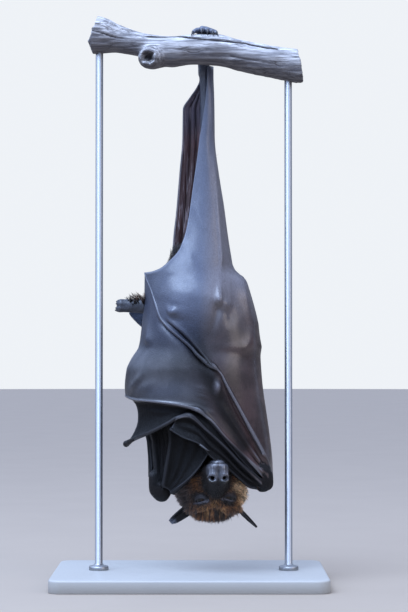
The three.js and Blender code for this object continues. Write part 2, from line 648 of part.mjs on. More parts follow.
const COLOURS = {
  fur: [0x4a3320, 0.9], coat: [0x2a2422, 0.9], skin: [0x2b2930, 0.55], eye: [0x1a0f08, 0.08],
  claw: [0x14120f, 0.3], wood: [0x8f8d92, 0.9], stand: [0x26272a, 0.5], steel: [0x8c8f93, 0.35],
};
const finish = Object.fromEntries(
  Object.entries(COLOURS).map(([name, [color, roughness]]) => [
    name,
    new THREE.MeshStandardMaterial({ name, color, roughness, metalness: name === "steel" ? 1 : 0 }),
  ]),
);

// Every piece in order. Each is cut back, with a gap, by the pieces before it that it meets.
const pieces = [];
const add = (name, look, make) => pieces.push({ name, look, make });
add("stand_base", "stand", base);
add("stand_rod_left", "steel", (g) => rod(ROD.left, g));
add("stand_rod_right", "steel", (g) => rod(ROD.right, g));
add("perch_branch", "wood", perch);
for (let n = 0; n < TOES; n++) {
  add(`claw_foot_right_${n + 1}`, "claw", (g) => claw(holdingClaw(n), g));
  add(`claw_foot_left_${n + 1}`, "claw", (g) => claw(freeClaw(n), g, 0.72));
}
add("claw_thumb_right", "claw", (g) => claw(hook(THUMB.right), g));
add("claw_thumb_left", "claw", (g) => claw(hook(THUMB.left), g));
add("claw_index_right", "claw", (g) => claw(INDEX_CLAW, g));
add("eye_right", "eye", (g) => eye(1, g));
add("eye_left", "eye", (g) => eye(-1, g));
add("ear_right", "skin", (g) => ear(EARS.right, g));
add("ear_left", "skin", (g) => ear(EARS.left, g));
add("wing_right_hand", "skin", rightHand);
add("wing_right_arm_skin", "skin", rightArmSkin);
add("foot_right", "skin", footRight);
add("foot_left", "skin", footLeft);
add("wing_left_hand", "skin", leftHand);
add("wing_left_arm_skin", "skin", leftArmSkin);
add("thumb_right", "skin", (g) => thumb(THUMB.right, g));
add("thumb_left", "skin", (g) => thumb(THUMB.left, g));
add("forearm_right", "skin", arm(ELBOW_RIGHT, WRIST_RIGHT, [6, 6.4, 5.2, 4.6, 5]));
add("forearm_left", "skin", arm(ELBOW_LEFT, WRIST_LEFT, [6, 6.4, 5.2, 4.6, 5]));
add("upper_arm_right", "coat", arm(SHOULDER.right, ELBOW_RIGHT, [9, 8.5, 6.5, 6]));
add("upper_arm_left", "coat", arm(SHOULDER.left, ELBOW_LEFT, [9, 8.5, 6.5, 6]));
add("shank_right", "skin", (g) => limb(ANKLE.right, KNEE.right, [4.4, 4.6, 5.6, 6.2, 6], g));
add("shank_left", "skin", (g) => limb(ANKLE.left, KNEE.left, [4.4, 4.6, 5.4, 6, 6], g));
add("thigh_right", "coat", (g) => limb(KNEE.right, HIP.right, [6.4, 8.5, 12, 15], g));
add("thigh_left", "coat", (g) => limb(KNEE.left, HIP.left, [6.4, 9, 12, 14], g));
add("leg_skin_right", "skin", legSkin);
add("head", "fur", head);
add("neck", "fur", neck);
add("trunk", "coat", trunk);

const meets = (a, b) => {
  const [p, q] = [a.boundingBox(), b.boundingBox()];
  return [0, 1, 2].every((k) => p.min[k] <= q.max[k] && q.min[k] <= p.max[k]);
};

const bat = new THREE.Group();
const done = [];
for (const { name, look, make } of pieces) {
  let shape = make(0);
  for (const other of done) if (meets(shape, other.swollen)) shape = shape.subtract(other.swollen);
  const whole = shape.decompose().sort((p, q) => q.volume() - p.volume())[0];
  done.push({ swollen: make(GAP).add(whole) });
  const mesh = whole.getMesh();
  const made = new THREE.BufferGeometry();
  made.setAttribute("position", new THREE.BufferAttribute(new Float32Array(mesh.vertProperties), 3));
  made.setIndex(new THREE.BufferAttribute(new Uint32Array(mesh.triVerts), 1));
  made.computeVertexNormals();
  const node = new THREE.Mesh(made, finish[look]);
  node.name = name;
  bat.add(node);
}

export default bat;
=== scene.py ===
"""A life-size model of a large fruit bat (flying fox) at rest, as a museum shows it.

The bat hangs head down by its right foot from a short length of driftwood, its right wing wrapped across
the front of its body. The shapes are worked out in millimetres, in the frame of the construction model, and
become meshes in metres."""

import math

import bpy
import numpy as np
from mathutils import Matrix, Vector
from mathutils.kdtree import KDTree


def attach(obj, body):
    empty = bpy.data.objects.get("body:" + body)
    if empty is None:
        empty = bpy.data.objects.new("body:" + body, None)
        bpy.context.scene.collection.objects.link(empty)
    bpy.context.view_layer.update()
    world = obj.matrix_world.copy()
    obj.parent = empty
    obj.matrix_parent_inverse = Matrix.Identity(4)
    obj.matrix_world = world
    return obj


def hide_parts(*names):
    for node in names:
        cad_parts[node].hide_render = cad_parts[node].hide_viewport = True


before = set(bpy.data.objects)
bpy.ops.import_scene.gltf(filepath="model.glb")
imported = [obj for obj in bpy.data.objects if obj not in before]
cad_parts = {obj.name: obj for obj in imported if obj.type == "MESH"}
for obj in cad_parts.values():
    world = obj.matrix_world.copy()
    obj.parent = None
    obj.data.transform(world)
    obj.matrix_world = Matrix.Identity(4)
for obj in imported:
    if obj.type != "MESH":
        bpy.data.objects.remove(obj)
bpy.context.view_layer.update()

MM = 0.001

# ---- camera, light and stage

CAMERA_AT = (0.013, -1.8, 0.2146)
CAMERA_AIM = (0.013, 0.0, 0.2554)
CAMERA_LENS = 114.5
SENSOR = 36
LIT_MIDDLE = (0.0, 0.0, 0.27)
SOFT_LIGHTS = (  # name, place, width and height, watts, colour
    ("sky_softbox", (-0.6, -0.8, 1.8), (1.2, 1.0), 44, (0.56, 0.72, 1.0)),
    ("warm_fill", (1.5, -0.9, 0.9), (0.8, 1.0), 6, (1.0, 0.88, 0.8)),
)
SKY_SIDE = (-0.62, -0.66, 0.42)  # where the air of the studio is brightest
SKY_DIM, SKY_BRIGHT, SKY_SEEN = (0.14, 0.145, 0.16), (1.7, 2.15, 3.2), (0.86, 0.89, 0.93)
FLOOR_RADIUS, FLOOR_SIDES = 9000, 96
FLOOR_DARK, FLOOR_LIGHT = (0.31, 0.252, 0.198), (0.34, 0.276, 0.216)


def aimed(thing, at, aim):
    thing.location = at
    thing.rotation_euler = (Vector(aim) - Vector(at)).to_track_quat("-Z", "Y").to_euler()
    bpy.context.scene.collection.objects.link(thing)


def place_camera():
    data = bpy.data.cameras.new("camera")
    data.lens = CAMERA_LENS
    data.sensor_width = SENSOR
    camera = bpy.data.objects.new("camera", data)
    aimed(camera, CAMERA_AT, CAMERA_AIM)
    bpy.context.scene.camera = camera


def soft_light(name, at, size, power, colour):
    data = bpy.data.lights.new(name, "AREA")
    data.shape = "RECTANGLE"
    data.size, data.size_y = size
    data.energy = power
    data.color = colour
    aimed(bpy.data.objects.new(name, data), at, LIT_MIDDLE)


def light_studio():
    """Two soft lights, and air that glows most on one side and shows pale behind the bat."""
    for row in SOFT_LIGHTS:
        soft_light(*row)
    world = bpy.data.worlds.new("studio_air")
    world.use_nodes = True
    nodes = Nodes(world.node_tree)
    direction = nodes.add("ShaderNodeTexCoord").outputs["Generated"]
    towards = nodes.vector("DOT_PRODUCT", direction, Vector(SKY_SIDE).normalized(), output="Value")
    side = nodes.span(towards, -0.4, 0.9, 0.3, 1.0)
    high = nodes.span(nodes.add("ShaderNodeSeparateXYZ", Vector=direction).outputs[2], 0.0, 0.5)
    glow = nodes.mix(nodes.times(side, high), SKY_DIM, SKY_BRIGHT)
    seen = nodes.add("ShaderNodeLightPath").outputs["Is Camera Ray"]
    glow = nodes.mix(seen, glow, SKY_SEEN)
    nodes.feed(world.node_tree.nodes["Background"].inputs["Color"], glow)
    bpy.context.scene.world = world
    bpy.context.scene.view_settings.view_transform = "Standard"


def lay_floor():
    """A wide, flat, pale floor."""
    turn = np.linspace(0, 2 * np.pi, FLOOR_SIDES, endpoint=False)
    rim = np.stack([FLOOR_RADIUS * np.cos(turn), FLOOR_RADIUS * np.sin(turn), 0 * turn], 1)
    faces = [(i, (i + 1) % FLOOR_SIDES, FLOOR_SIDES) for i in range(FLOOR_SIDES)]
    floor = mesh_object("studio_floor", np.vstack([rim, (0, 0, 0)]), faces)
    material, nodes, shader = blank_material("studio_floor", Roughness=0.85)
    speckle = nodes.noise(nodes.here(), 9.0, 4.0)
    base_colour(nodes, shader, nodes.mix(speckle, FLOOR_DARK, FLOOR_LIGHT))
    floor.data.materials.append(material)


# ---- node helpers


class Nodes:
    """Short ways to add and join the nodes of one tree."""

    def __init__(self, tree):
        self.tree = tree

    def add(self, kind, settings=None, **inputs):
        node = self.tree.nodes.new(kind)
        for name, value in (settings or {}).items():
            setattr(node, name, value)
        for name, value in inputs.items():
            self.feed(node.inputs[name.replace("_", " ")], value)
        return node

    def feed(self, socket, value):
        if isinstance(value, bpy.types.NodeSocket):
            self.tree.links.new(value, socket)
        elif isinstance(value, bpy.types.Node):
            self.tree.links.new(value.outputs[0], socket)
        else:
            socket.default_value = value

    def wired(self, kind, settings, *values):
        """A node whose first sockets take the values in order."""
        node = self.add(kind, settings)
        for socket, value in zip(node.inputs, values):
            self.feed(socket, value)
        return node

    def math(self, operation, a, b, clamp=False):
        return self.wired("ShaderNodeMath", {"operation": operation, "use_clamp": clamp}, a, b).outputs[0]

    def times(self, a, b):
        return self.math("MULTIPLY", a, b)

    def vector(self, operation, *values, output="Vector"):
        return self.wired("ShaderNodeVectorMath", {"operation": operation}, *values).outputs[output]

    def mix(self, share, a, b, blend="MIX"):
        node = self.add("ShaderNodeMix", {"data_type": "RGBA", "blend_type": blend})
        self.feed(node.inputs[0], share)
        for socket, colour in ((node.inputs[6], a), (node.inputs[7], b)):
            self.feed(socket, (*colour, 1) if isinstance(colour, tuple) else colour)
        return node.outputs[2]

    def span(self, value, low, high, to_low=0.0, to_high=1.0):
        """A value between low and high, brought smoothly to a new range."""
        kind = {"interpolation_type": "SMOOTHSTEP"}
        return self.wired("ShaderNodeMapRange", kind, value, low, high, to_low, to_high).outputs[0]

    def noise(self, place, scale, detail, roughness=0.5, distortion=0.0):
        sizes = {"Scale": scale, "Detail": detail, "Roughness": roughness, "Distortion": distortion}
        return self.add("ShaderNodeTexNoise", Vector=place, **sizes).outputs[0]

    def cracks(self, place, scale):
        """Distance to the borders of small cells."""
        kind = {"feature": "DISTANCE_TO_EDGE"}
        return self.add("ShaderNodeTexVoronoi", kind, Vector=place, Scale=scale).outputs[0]

    def here(self):
        return self.add("ShaderNodeTexCoord").outputs["Object"]

    def stretched(self, scale, turn=(0, 0, 0)):
        return self.add("ShaderNodeMapping", Vector=self.here(), Scale=scale, Rotation=turn).outputs[0]

    def mark(self, name, output="Fac"):
        """A value that the mesh carries under this name."""
        return self.add("ShaderNodeAttribute", {"attribute_name": name}).outputs[output]

    def spot(self, place, middle, radii, edge):
        """A soft oval spot, 1 inside and 0 outside. Its middle and radii are in millimetres."""
        off = self.vector("SUBTRACT", place, [value * MM for value in middle])
        scaled = self.vector("DIVIDE", off, [value * MM for value in radii])
        return self.span(self.vector("LENGTH", scaled, output="Value"), 1 - edge, 1 + edge, 1, 0)

    def group(self, tree, **inputs):
        return self.add("ShaderNodeGroup", {"node_tree": tree}, **inputs)


def shader_group(name, inputs, outputs):
    """An empty shader group with named sockets, its node helper, its inputs and its output node."""
    tree = bpy.data.node_groups.new(name, "ShaderNodeTree")
    for socket, kind, value in inputs:
        made = tree.interface.new_socket(socket, in_out="INPUT", socket_type="NodeSocket" + kind)
        made.default_value = value
    for socket, kind in outputs:
        tree.interface.new_socket(socket, in_out="OUTPUT", socket_type="NodeSocket" + kind)
    nodes = Nodes(tree)
    return tree, nodes, nodes.add("NodeGroupInput"), nodes.add("NodeGroupOutput")


def blank_material(name, **constants):
    """A material with constants on its shader's own sockets, its node helper and its shader."""
    material = bpy.data.materials.new(name)
    material.use_nodes = True
    shader = material.node_tree.nodes["Principled BSDF"]
    for socket, value in constants.items():
        shader.inputs[socket.replace("_", " ")].default_value = value
    return material, Nodes(material.node_tree), shader


def base_colour(nodes, shader, colour):
    nodes.feed(shader.inputs["Base Color"], colour)


def add_bump(nodes, shader, height, distance, strength):
    bump = nodes.add("ShaderNodeBump", Height=height, Distance=distance, Strength=strength)
    nodes.feed(shader.inputs["Normal"], bump)


# ---- shape helpers


def hermite(a, b, leave, arrive, t):
    """The curve from a to b that leaves and arrives with the given slopes, at shares t."""
    t2, t3 = t * t, t * t * t
    leaving = (2 * t3 - 3 * t2 + 1) * a + (t3 - 2 * t2 + t) * leave
    return leaving + (3 * t2 - 2 * t3) * b + (t3 - t2) * arrive


def table(rows):
    """Rows of numbers keyed by their first entry, joined by a smooth curve without overshoot."""
    up = np.array(sorted(rows), float)
    key, value = up[:, 0], up[:, 1:]
    rise = np.diff(value, axis=0) / np.diff(key)[:, None]
    before, after = rise[:-1], rise[1:]
    steady = before * after > 0
    slope = np.zeros_like(value)
    slope[1:-1] = np.where(steady, 2 * before * after / np.where(steady, before + after, 1), 0)

    def read(at):
        at = np.clip(np.asarray(at, float), key[0], key[-1])
        i = np.clip(np.searchsorted(key, at) - 1, 0, len(key) - 2)
        span = (key[i + 1] - key[i])[..., None]
        t = (at - key[i])[..., None] / span
        return hermite(value[i], value[i + 1], slope[i] * span, slope[i + 1] * span, t)

    return read


def spline(points):
    """A smooth line through points, read by a share from 0 to 1 of their number."""
    p = np.array(points, float)
    p = np.vstack([2 * p[0] - p[1], p, 2 * p[-1] - p[-2]])

    def step(a, b):
        return np.sqrt(np.maximum(lengths(b - a)[..., None], 1e-9))

    def read(share):
        at = np.clip(np.asarray(share, float), 0, 1) * (len(p) - 3)
        i = np.minimum(at.astype(int), len(p) - 4)
        a, b, c, d = p[i], p[i + 1], p[i + 2], p[i + 3]
        s0, s1, s2 = step(a, b), step(b, c), step(c, d)
        leave = ((b - a) / s0 - (c - a) / (s0 + s1) + (c - b) / s1) * s1
        arrive = ((c - b) / s1 - (d - b) / (s1 + s2) + (d - c) / s2) * s1
        return hermite(b, c, leave, arrive, (at - i)[..., None])

    return read


def lengths(rows):
    return np.linalg.norm(rows, axis=-1)


def unit(rows):
    """Rows of numbers brought to a length of one."""
    return rows / np.maximum(lengths(rows)[..., None], 1e-12)


def smooth_step(low, high, value):
    t = np.clip((value - low) / (high - low), 0, 1)
    return t * t * (3 - 2 * t)


def mesh_object(name, points, faces):
    """A smooth mesh object from points in millimetres and faces of equal length."""
    mesh = bpy.data.meshes.new(name)
    faces = np.asarray(faces, np.int32)
    mesh.vertices.add(len(points))
    mesh.vertices.foreach_set("co", (np.asarray(points) * MM).astype(np.float32).ravel())
    mesh.loops.add(faces.size)
    mesh.loops.foreach_set("vertex_index", faces.ravel())
    mesh.polygons.add(len(faces))
    mesh.polygons.foreach_set("loop_start", np.arange(0, faces.size, faces.shape[1], dtype=np.int32))
    mesh.update(calc_edges=True)
    mesh.validate()
    mesh.shade_smooth()
    made = bpy.data.objects.new(name, mesh)
    bpy.context.scene.collection.objects.link(made)
    return made


def read_all(items, field, width, kind=np.float32):
    """The values of one field for all items of a mesh, in rows of the given width."""
    values = np.empty(len(items) * width, kind)
    items.foreach_get(field, values)
    return values.reshape(-1, width)


def places(thing):
    """A mesh object's vertices in millimetres."""
    return read_all(thing.data.vertices, "co", 3).astype(float) / MM


def face_normals(points, faces):
    """A normal of each face, twice as long as the face is large."""
    corner = [points[faces[:, k]] for k in range(len(faces[0]))]
    if len(corner) == 4:
        return np.cross(corner[2] - corner[0], corner[3] - corner[1])
    return np.cross(corner[1] - corner[0], corner[2] - corner[0])


def point_normals(points, faces):
    """The mean normal of the faces around each point, one unit long."""
    total = np.zeros_like(points)
    each = face_normals(points, faces)
    for corner in range(faces.shape[1]):
        np.add.at(total, faces[:, corner], each)
    return unit(total)


def to_line(points, line):
    """Each point's distance from a line of points, and the share of the line where it is nearest."""
    points, line = np.asarray(points, float), np.asarray(line, float)
    best = np.full(len(points), np.inf)
    share = np.zeros(len(points))
    for i in range(len(line) - 1):
        run = line[i + 1] - line[i]
        t = np.clip((points - line[i]) @ run / max(run @ run, 1e-12), 0, 1)
        far = lengths(points - line[i] - t[:, None] * run)
        nearer = far < best
        best[nearer] = far[nearer]
        share[nearer] = (i + t[nearer]) / (len(line) - 1)
    return best, share


# ---- sheets of skin


class Sheet:
    """Blocks of a surface that share their border points, later given a thickness."""

    def __init__(self):
        self.points, self.faces, self.count = [], [], 0

    def block(self, grid, top_edge=None):
        """Adds a grid of points. Its first row is a neighbour's top_edge, where one is given."""
        rows, columns = grid.shape[:2]
        if top_edge is not None:
            grid[0] = top_edge
        number = self.count + np.arange(rows * columns).reshape(rows, columns)
        quads = [number[:-1, :-1], number[1:, :-1], number[1:, 1:], number[:-1, 1:]]
        self.faces.append(np.stack([q.ravel() for q in quads], 1))
        self.points.append(grid.reshape(-1, 3))
        self.count += rows * columns

    def welded(self):
        points, faces = np.vstack(self.points), np.vstack(self.faces)
        _, first, number = np.unique(points, axis=0, return_index=True, return_inverse=True)
        return points[first], number.ravel()[faces]


def thickened(points, faces, half):
    """A closed skin: the surface offset by half to both sides, with a rim along its border."""
    normal = point_normals(points, faces)
    count = len(points)
    both = np.vstack([points + normal * half[:, None], points - normal * half[:, None]])
    edges = np.stack([faces, np.roll(faces, -1, 1)], 2).reshape(-1, 2)
    key = edges.min(1) * count + edges.max(1)
    _, place, times = np.unique(key, return_index=True, return_counts=True)
    rim = edges[place[times == 1]]
    walls = np.stack([rim[:, 1], rim[:, 0], rim[:, 0] + count, rim[:, 1] + count], 1)
    return both, np.vstack([faces, faces[:, ::-1] + count, walls])


# ---- rounded forms


def near_segment(p, a, b, ra, rb):
    """Distance to a straight round rod from a to b, whose radius goes from ra to rb."""
    a, run = np.array(a, float), np.array(b, float) - np.array(a, float)
    t = np.clip(((p - a) @ run) / max(run @ run, 1e-9), 0, 1)
    return lengths(p - a - t[:, None] * run) - (ra + (rb - ra) * t)


def near_chain(p, stations):
    """Distance to a limb of round sections, each station [x, y, z, radius]."""
    found = np.full(len(p), 1e9)
    for a, b in zip(stations, stations[1:]):
        found = np.minimum(found, near_segment(p, a[:3], b[:3], a[3], b[3]))
    return found


def melt(a, b, reach):
    """The union of two forms, rounded where they meet."""
    h = np.clip(0.5 + 0.5 * (b - a) / reach, 0, 1)
    return b + (a - b) * h - reach * h * (1 - h)


def carve(a, b, reach):
    """Form a with form b cut out of it, rounded at the edge."""
    return -melt(-a, b, reach)


CORNERS = np.array([[i, j, k] for i in (0, 1) for j in (0, 1) for k in (0, 1)])
CELL_EDGES = [
    (a, b) for a in range(8) for b in range(a + 1, 8) if np.abs(CORNERS[a] - CORNERS[b]).sum() == 1
]
GRID_TRIES, GRID_SHIFT = 8, 0.137  # how often a grid is moved, and by how much of a cell


def is_closed(faces):
    """Whether each edge has exactly two faces."""
    edges = np.sort(np.stack([faces, np.roll(faces, -1, 1)], 2).reshape(-1, 2), 1)
    return (np.unique(edges, axis=0, return_counts=True)[1] == 2).all()


def surface_of(field, low, high, cell):
    """The closed surface where a field of signed distances is zero. A grid that leaves it open is moved."""
    for attempt in range(GRID_TRIES):
        points, faces = net_of(field, np.array(low) - attempt * cell * GRID_SHIFT, high, cell)
        if is_closed(faces):
            break
    return settle(field, points, cell), faces


def net_of(field, low, high, cell):
    """A net of four-sided faces along the zero of a field, with a point in each cell that it crosses."""
    axes = [np.arange(low[k], high[k] + cell, cell) for k in range(3)]
    spots = np.stack(np.meshgrid(*axes, indexing="ij"), -1).reshape(-1, 3)
    value = field(spots).reshape([len(a) for a in axes])
    inside = value < 0
    part = [slice(0, -1), slice(1, None)]
    corner_inside = np.stack([inside[part[c[0]], part[c[1]], part[c[2]]] for c in CORNERS], -1)
    crossed = corner_inside.any(-1) & ~corner_inside.all(-1)
    cells = np.argwhere(crossed)
    corner_value = np.stack([value[tuple((cells + c).T)] for c in CORNERS], 1)
    total, times = np.zeros((len(cells), 3)), np.zeros(len(cells))
    for a, b in CELL_EDGES:
        va, vb = corner_value[:, a], corner_value[:, b]
        cut = (va < 0) != (vb < 0)
        t = np.where(cut, va / np.where(cut, va - vb, 1), 0)
        total[cut] += (CORNERS[a] + t[:, None] * (CORNERS[b] - CORNERS[a]))[cut]
        times[cut] += 1
    points = (cells + total / times[:, None]) * cell + np.array([a[0] for a in axes])
    number = np.full(crossed.shape, -1)
    number[tuple(cells.T)] = np.arange(len(cells))
    return points, net_faces(inside, number)


def net_faces(inside, number):
    """The faces of a net: one across each grid edge between inside and outside."""
    faces = []
    for axis in range(3):
        one, two = (axis + 1) % 3, (axis + 2) % 3
        here = inside.take(range(inside.shape[axis] - 1), axis)
        ahead = inside.take(range(1, inside.shape[axis]), axis)
        at = np.argwhere(here != ahead)
        at = at[(at[:, one] > 0) & (at[:, two] > 0)]
        leaving = here[tuple(at.T)]
        around = []
        for back_one, back_two in ((1, 1), (0, 1), (0, 0), (1, 0)):
            spot = at.copy()
            spot[:, one] -= back_one
            spot[:, two] -= back_two
            around.append(number[tuple(spot.T)])
        quad = np.stack(around, 1)
        quad[~leaving] = quad[~leaving][:, ::-1]
        faces.append(quad)
    return np.vstack(faces)


def settle(field, points, cell):
    """Moves the points of a rough surface onto the field's zero."""
    tiny = 0.2
    for _ in range(2):
        here = field(points)
        slope = np.stack([field(points + tiny * np.eye(3)[k]) - here for k in range(3)], 1) / tiny
        step = here / np.maximum((slope**2).sum(1), 0.25)
        points = points - np.clip(step, -0.4 * cell, 0.4 * cell)[:, None] * slope
    return points


# ---- the wrapped form of the wings

# Level sections of the cloak that the right wing makes, by height: its left edge, its right edge, and its
# middle of depth with its reach forward and back.
CLOAK_LEFT = table([
    (482, 6.5), (444, 5.5), (406, 0), (380, -6), (345, -14), (308, -27), (286, -43), (262, -44.5),
    (245, -46), (229, -47.3), (217, -50), (207, -56.5), (196, -60.4), (172, -61), (150, -60.5), (128, -60),
    (98, -59), (80, -56),
])
CLOAK_RIGHT = table([
    (482, 21.5), (455, 21.3), (427, 20.3), (410, 19.4), (380, 22.8), (345, 28.5), (308, 34.9), (293, 38.5),
    (285, 42.8), (282.5, 46.5), (279, 50), (268, 53.7), (258, 56.5), (247, 59.3), (233, 62.2), (222, 64.7),
    (217, 65.8), (212, 64.8), (200, 65.4), (182, 66.8), (158, 70.1), (138, 73), (110, 75.9), (98, 76.3),
    (80, 72),
])
CLOAK_DEPTH = table([
    (482, 20, 8, 7), (444, 20, 9, 8), (406, 19, 12, 10), (380, 18, 16, 13), (345, 16, 22, 17),
    (308, 13, 31, 24), (286, 10, 39, 28), (262, 8, 49, 31), (245, 6, 49, 33), (217, 4, 49, 34),
    (196, 3, 52, 35), (172, 2, 53, 35), (150, 1, 53, 34), (128, 0, 53, 32), (110, 0, 52, 30),
    (98, 0, 50, 28), (80, 0, 46, 26),
])
# The same for the left wing, which lies under the right one.
UNDER_CLOAK = table([
    (300, -38, 40, 12, 28, 26), (266, -42, 44, 10, 36, 30), (225, -43.5, 52, 8, 38, 33),
    (180, -50, 58, 5, 40, 34), (150, -45, 60, 3, 41, 33), (130, -39, 62, 2, 42, 31),
    (100, -38, 64, 0, 41, 28), (86, -39, 64, -1, 40, 26), (72, -33, 60, -1, 36, 24),
])


def over_cloak(z):
    return np.concatenate([CLOAK_LEFT(z), CLOAK_RIGHT(z), CLOAK_DEPTH(z)], -1)


def wrapped(form, spots, lift=0.0):
    """The points of a cloak at angles from straight ahead (towards +X) and heights, raised by lift."""
    turn, z = np.moveaxis(spots, -1, 0)
    left, right, middle, front, back = np.moveaxis(form(z), -1, 0)
    angle = np.radians(turn)
    reach = np.where(np.abs(turn) < 90, front, back)
    x = (left + right) / 2 + ((right - left) / 2 + lift) * np.sin(angle)
    return np.stack([x, middle - (reach + lift) * np.cos(angle), z], -1)


def front_route(form, points):
    """A line over a cloak through points [x, z] on its front, as angles and heights."""
    x, z = np.array(points, float).T
    left, right = np.moveaxis(form(z)[..., :2], -1, 0)
    share = np.clip((2 * x - left - right) / (right - left), -1, 1)
    return np.stack([np.degrees(np.arcsin(share)), z], 1)


def coons(top, foot, left, right, u, v):
    """Fills four edge lines: top and foot run along u, left and right along v."""
    u, v = u[None, :, None], v[:, None, None]
    across = (1 - v) * top[None] + v * foot[None]
    down = (1 - u) * left[:, None] + u * right[:, None]
    corners = (1 - v) * ((1 - u) * top[0] + u * top[-1]) + v * ((1 - u) * foot[0] + u * foot[-1])
    return across + down - corners


def finer_at_ends(count, first, last):
    """Shares from 0 to 1, closer together towards each end by the strength given."""
    t = np.linspace(0, 1, count)
    weight = 1 / (1 + first * np.exp(-((t / 0.1) ** 2)) * 2 + last * np.exp(-(((1 - t) / 0.1) ** 2)) * 2)
    share = np.concatenate([[0], np.cumsum((weight[1:] + weight[:-1]) / 2)])
    return share / share[-1]


def fold(x, z, line, width, steep=1.0):
    """A soft ridge along a line of [x, z, height]. Its flank on the line's right is steeper by steep."""
    line = np.array(line, float)
    flat = np.stack([x, z], 1)
    far, share = to_line(flat, line[:, :2])
    height = np.interp(share, np.linspace(0, 1, len(line)), line[:, 2])
    if steep != 1.0:
        i = np.minimum((share * (len(line) - 1)).astype(int), len(line) - 2)
        run = line[i + 1, :2] - line[i, :2]
        off = flat - line[i, :2]
        side = run[:, 0] * off[:, 1] - run[:, 1] * off[:, 0]
        far = far * np.where(side < 0, steep, 1)
    return height * np.exp(-((np.sqrt(far**2 + 0.25) - 0.5) / width) ** 1.35)


def swell(x, z, at, height, wide, tall=None):
    """A soft bump with its top at [x, z]."""
    return height * np.exp(-(((x - at[0]) / wide) ** 2) - ((z - at[1]) / (tall or wide)) ** 2)


# ---- right wing

# The fingers from tip to wrist and the wing's edges, as [x, z] on the front of the cloak.
FIFTH = [
    (-41.3, 286.2), (-36, 272), (-31, 257), (-25.4, 241.7), (-1, 218.5), (17, 202), (27, 194.5),
    (34, 181.8), (56.8, 139.5), (72, 107),
]
FOURTH = [
    (-58.3, 172.6), (-52, 170), (-31.5, 168.2), (-10, 165.6), (7, 161), (18.4, 152.3), (32.2, 136.4),
    (51.3, 117.2), (69, 98),
]
THIRD = [
    (-58.3, 128.2), (-37, 139.5), (-21, 148), (-10.5, 154), (0, 155.5), (16.3, 141.7), (32.2, 126.8),
    (48.1, 109.8), (66, 93),
]
SECOND = [
    (-18, 143.2), (-6, 136), (10.5, 129), (20, 118), (32.2, 109.8), (42.8, 100.3), (53.5, 90.7), (63, 87),
]
TRAILING = [
    (16.5, 480), (15.2, 458), (12, 430), (7.3, 394.7), (2.3, 359.2), (-1.2, 335.2), (-4.5, 320),
    (-13.6, 301.2), (-24.2, 291.2), (-32.6, 287.3), (-41.3, 286.2),
]
UPPER_FREE = [
    (-41.3, 286.2), (-42, 270), (-43, 257), (-44.5, 244), (-46, 231), (-48, 218), (-54.5, 207), (-59, 196),
    (-60, 183), (-58.3, 172.6),
]
FOLD_FREE = [(-58.3, 172.6), (-54.4, 163), (-53.3, 152), (-54.4, 143), (-58.3, 128.2)]
# Edges that leave the front, as angles round the cloak and heights.
ROUND_WRIST = [(78, 99), (98, 97), (122, 107), (144, 124)]
ROUND_TOP = [(40, 480), (66, 480), (92, 480), (118, 480)]
BACK_EDGE = [
    (118, 480), (120, 450), (124, 400), (132, 340), (142, 290), (148, 245), (150, 200), (148, 160),
    (144, 124),
]
RIGHT_FINGER_RADII = (  # fifth, fourth, third and second finger, from tip to wrist
    (0.8, 0.8, 0.9, 1.4, 1.1, 1.1, 1.4, 2.8, 1.3, 1.2, 1.3, 1.9, 2.6),
    (1.1, 0.9, 0.9, 1.0, 1.2, 1.4, 2.3, 1.4, 1.3, 1.3, 1.5, 2.0, 2.8),
    (2.2, 1.5, 1.6, 1.4, 1.6, 1.9, 2.9, 1.6, 1.4, 1.5, 1.7, 2.2, 2.8),
    (1.3, 1.0, 1.2, 1.1, 1.2, 1.3, 1.5, 2.0, 2.8),
)
HAND_COLUMNS = 88
WRIST_COLUMNS = 26
ARM_ROWS = 98
THIRD_INNER = 0.36  # share of the third finger where the lowest strip begins
MEMBRANE = 1.0  # thickness of the skin between the bones

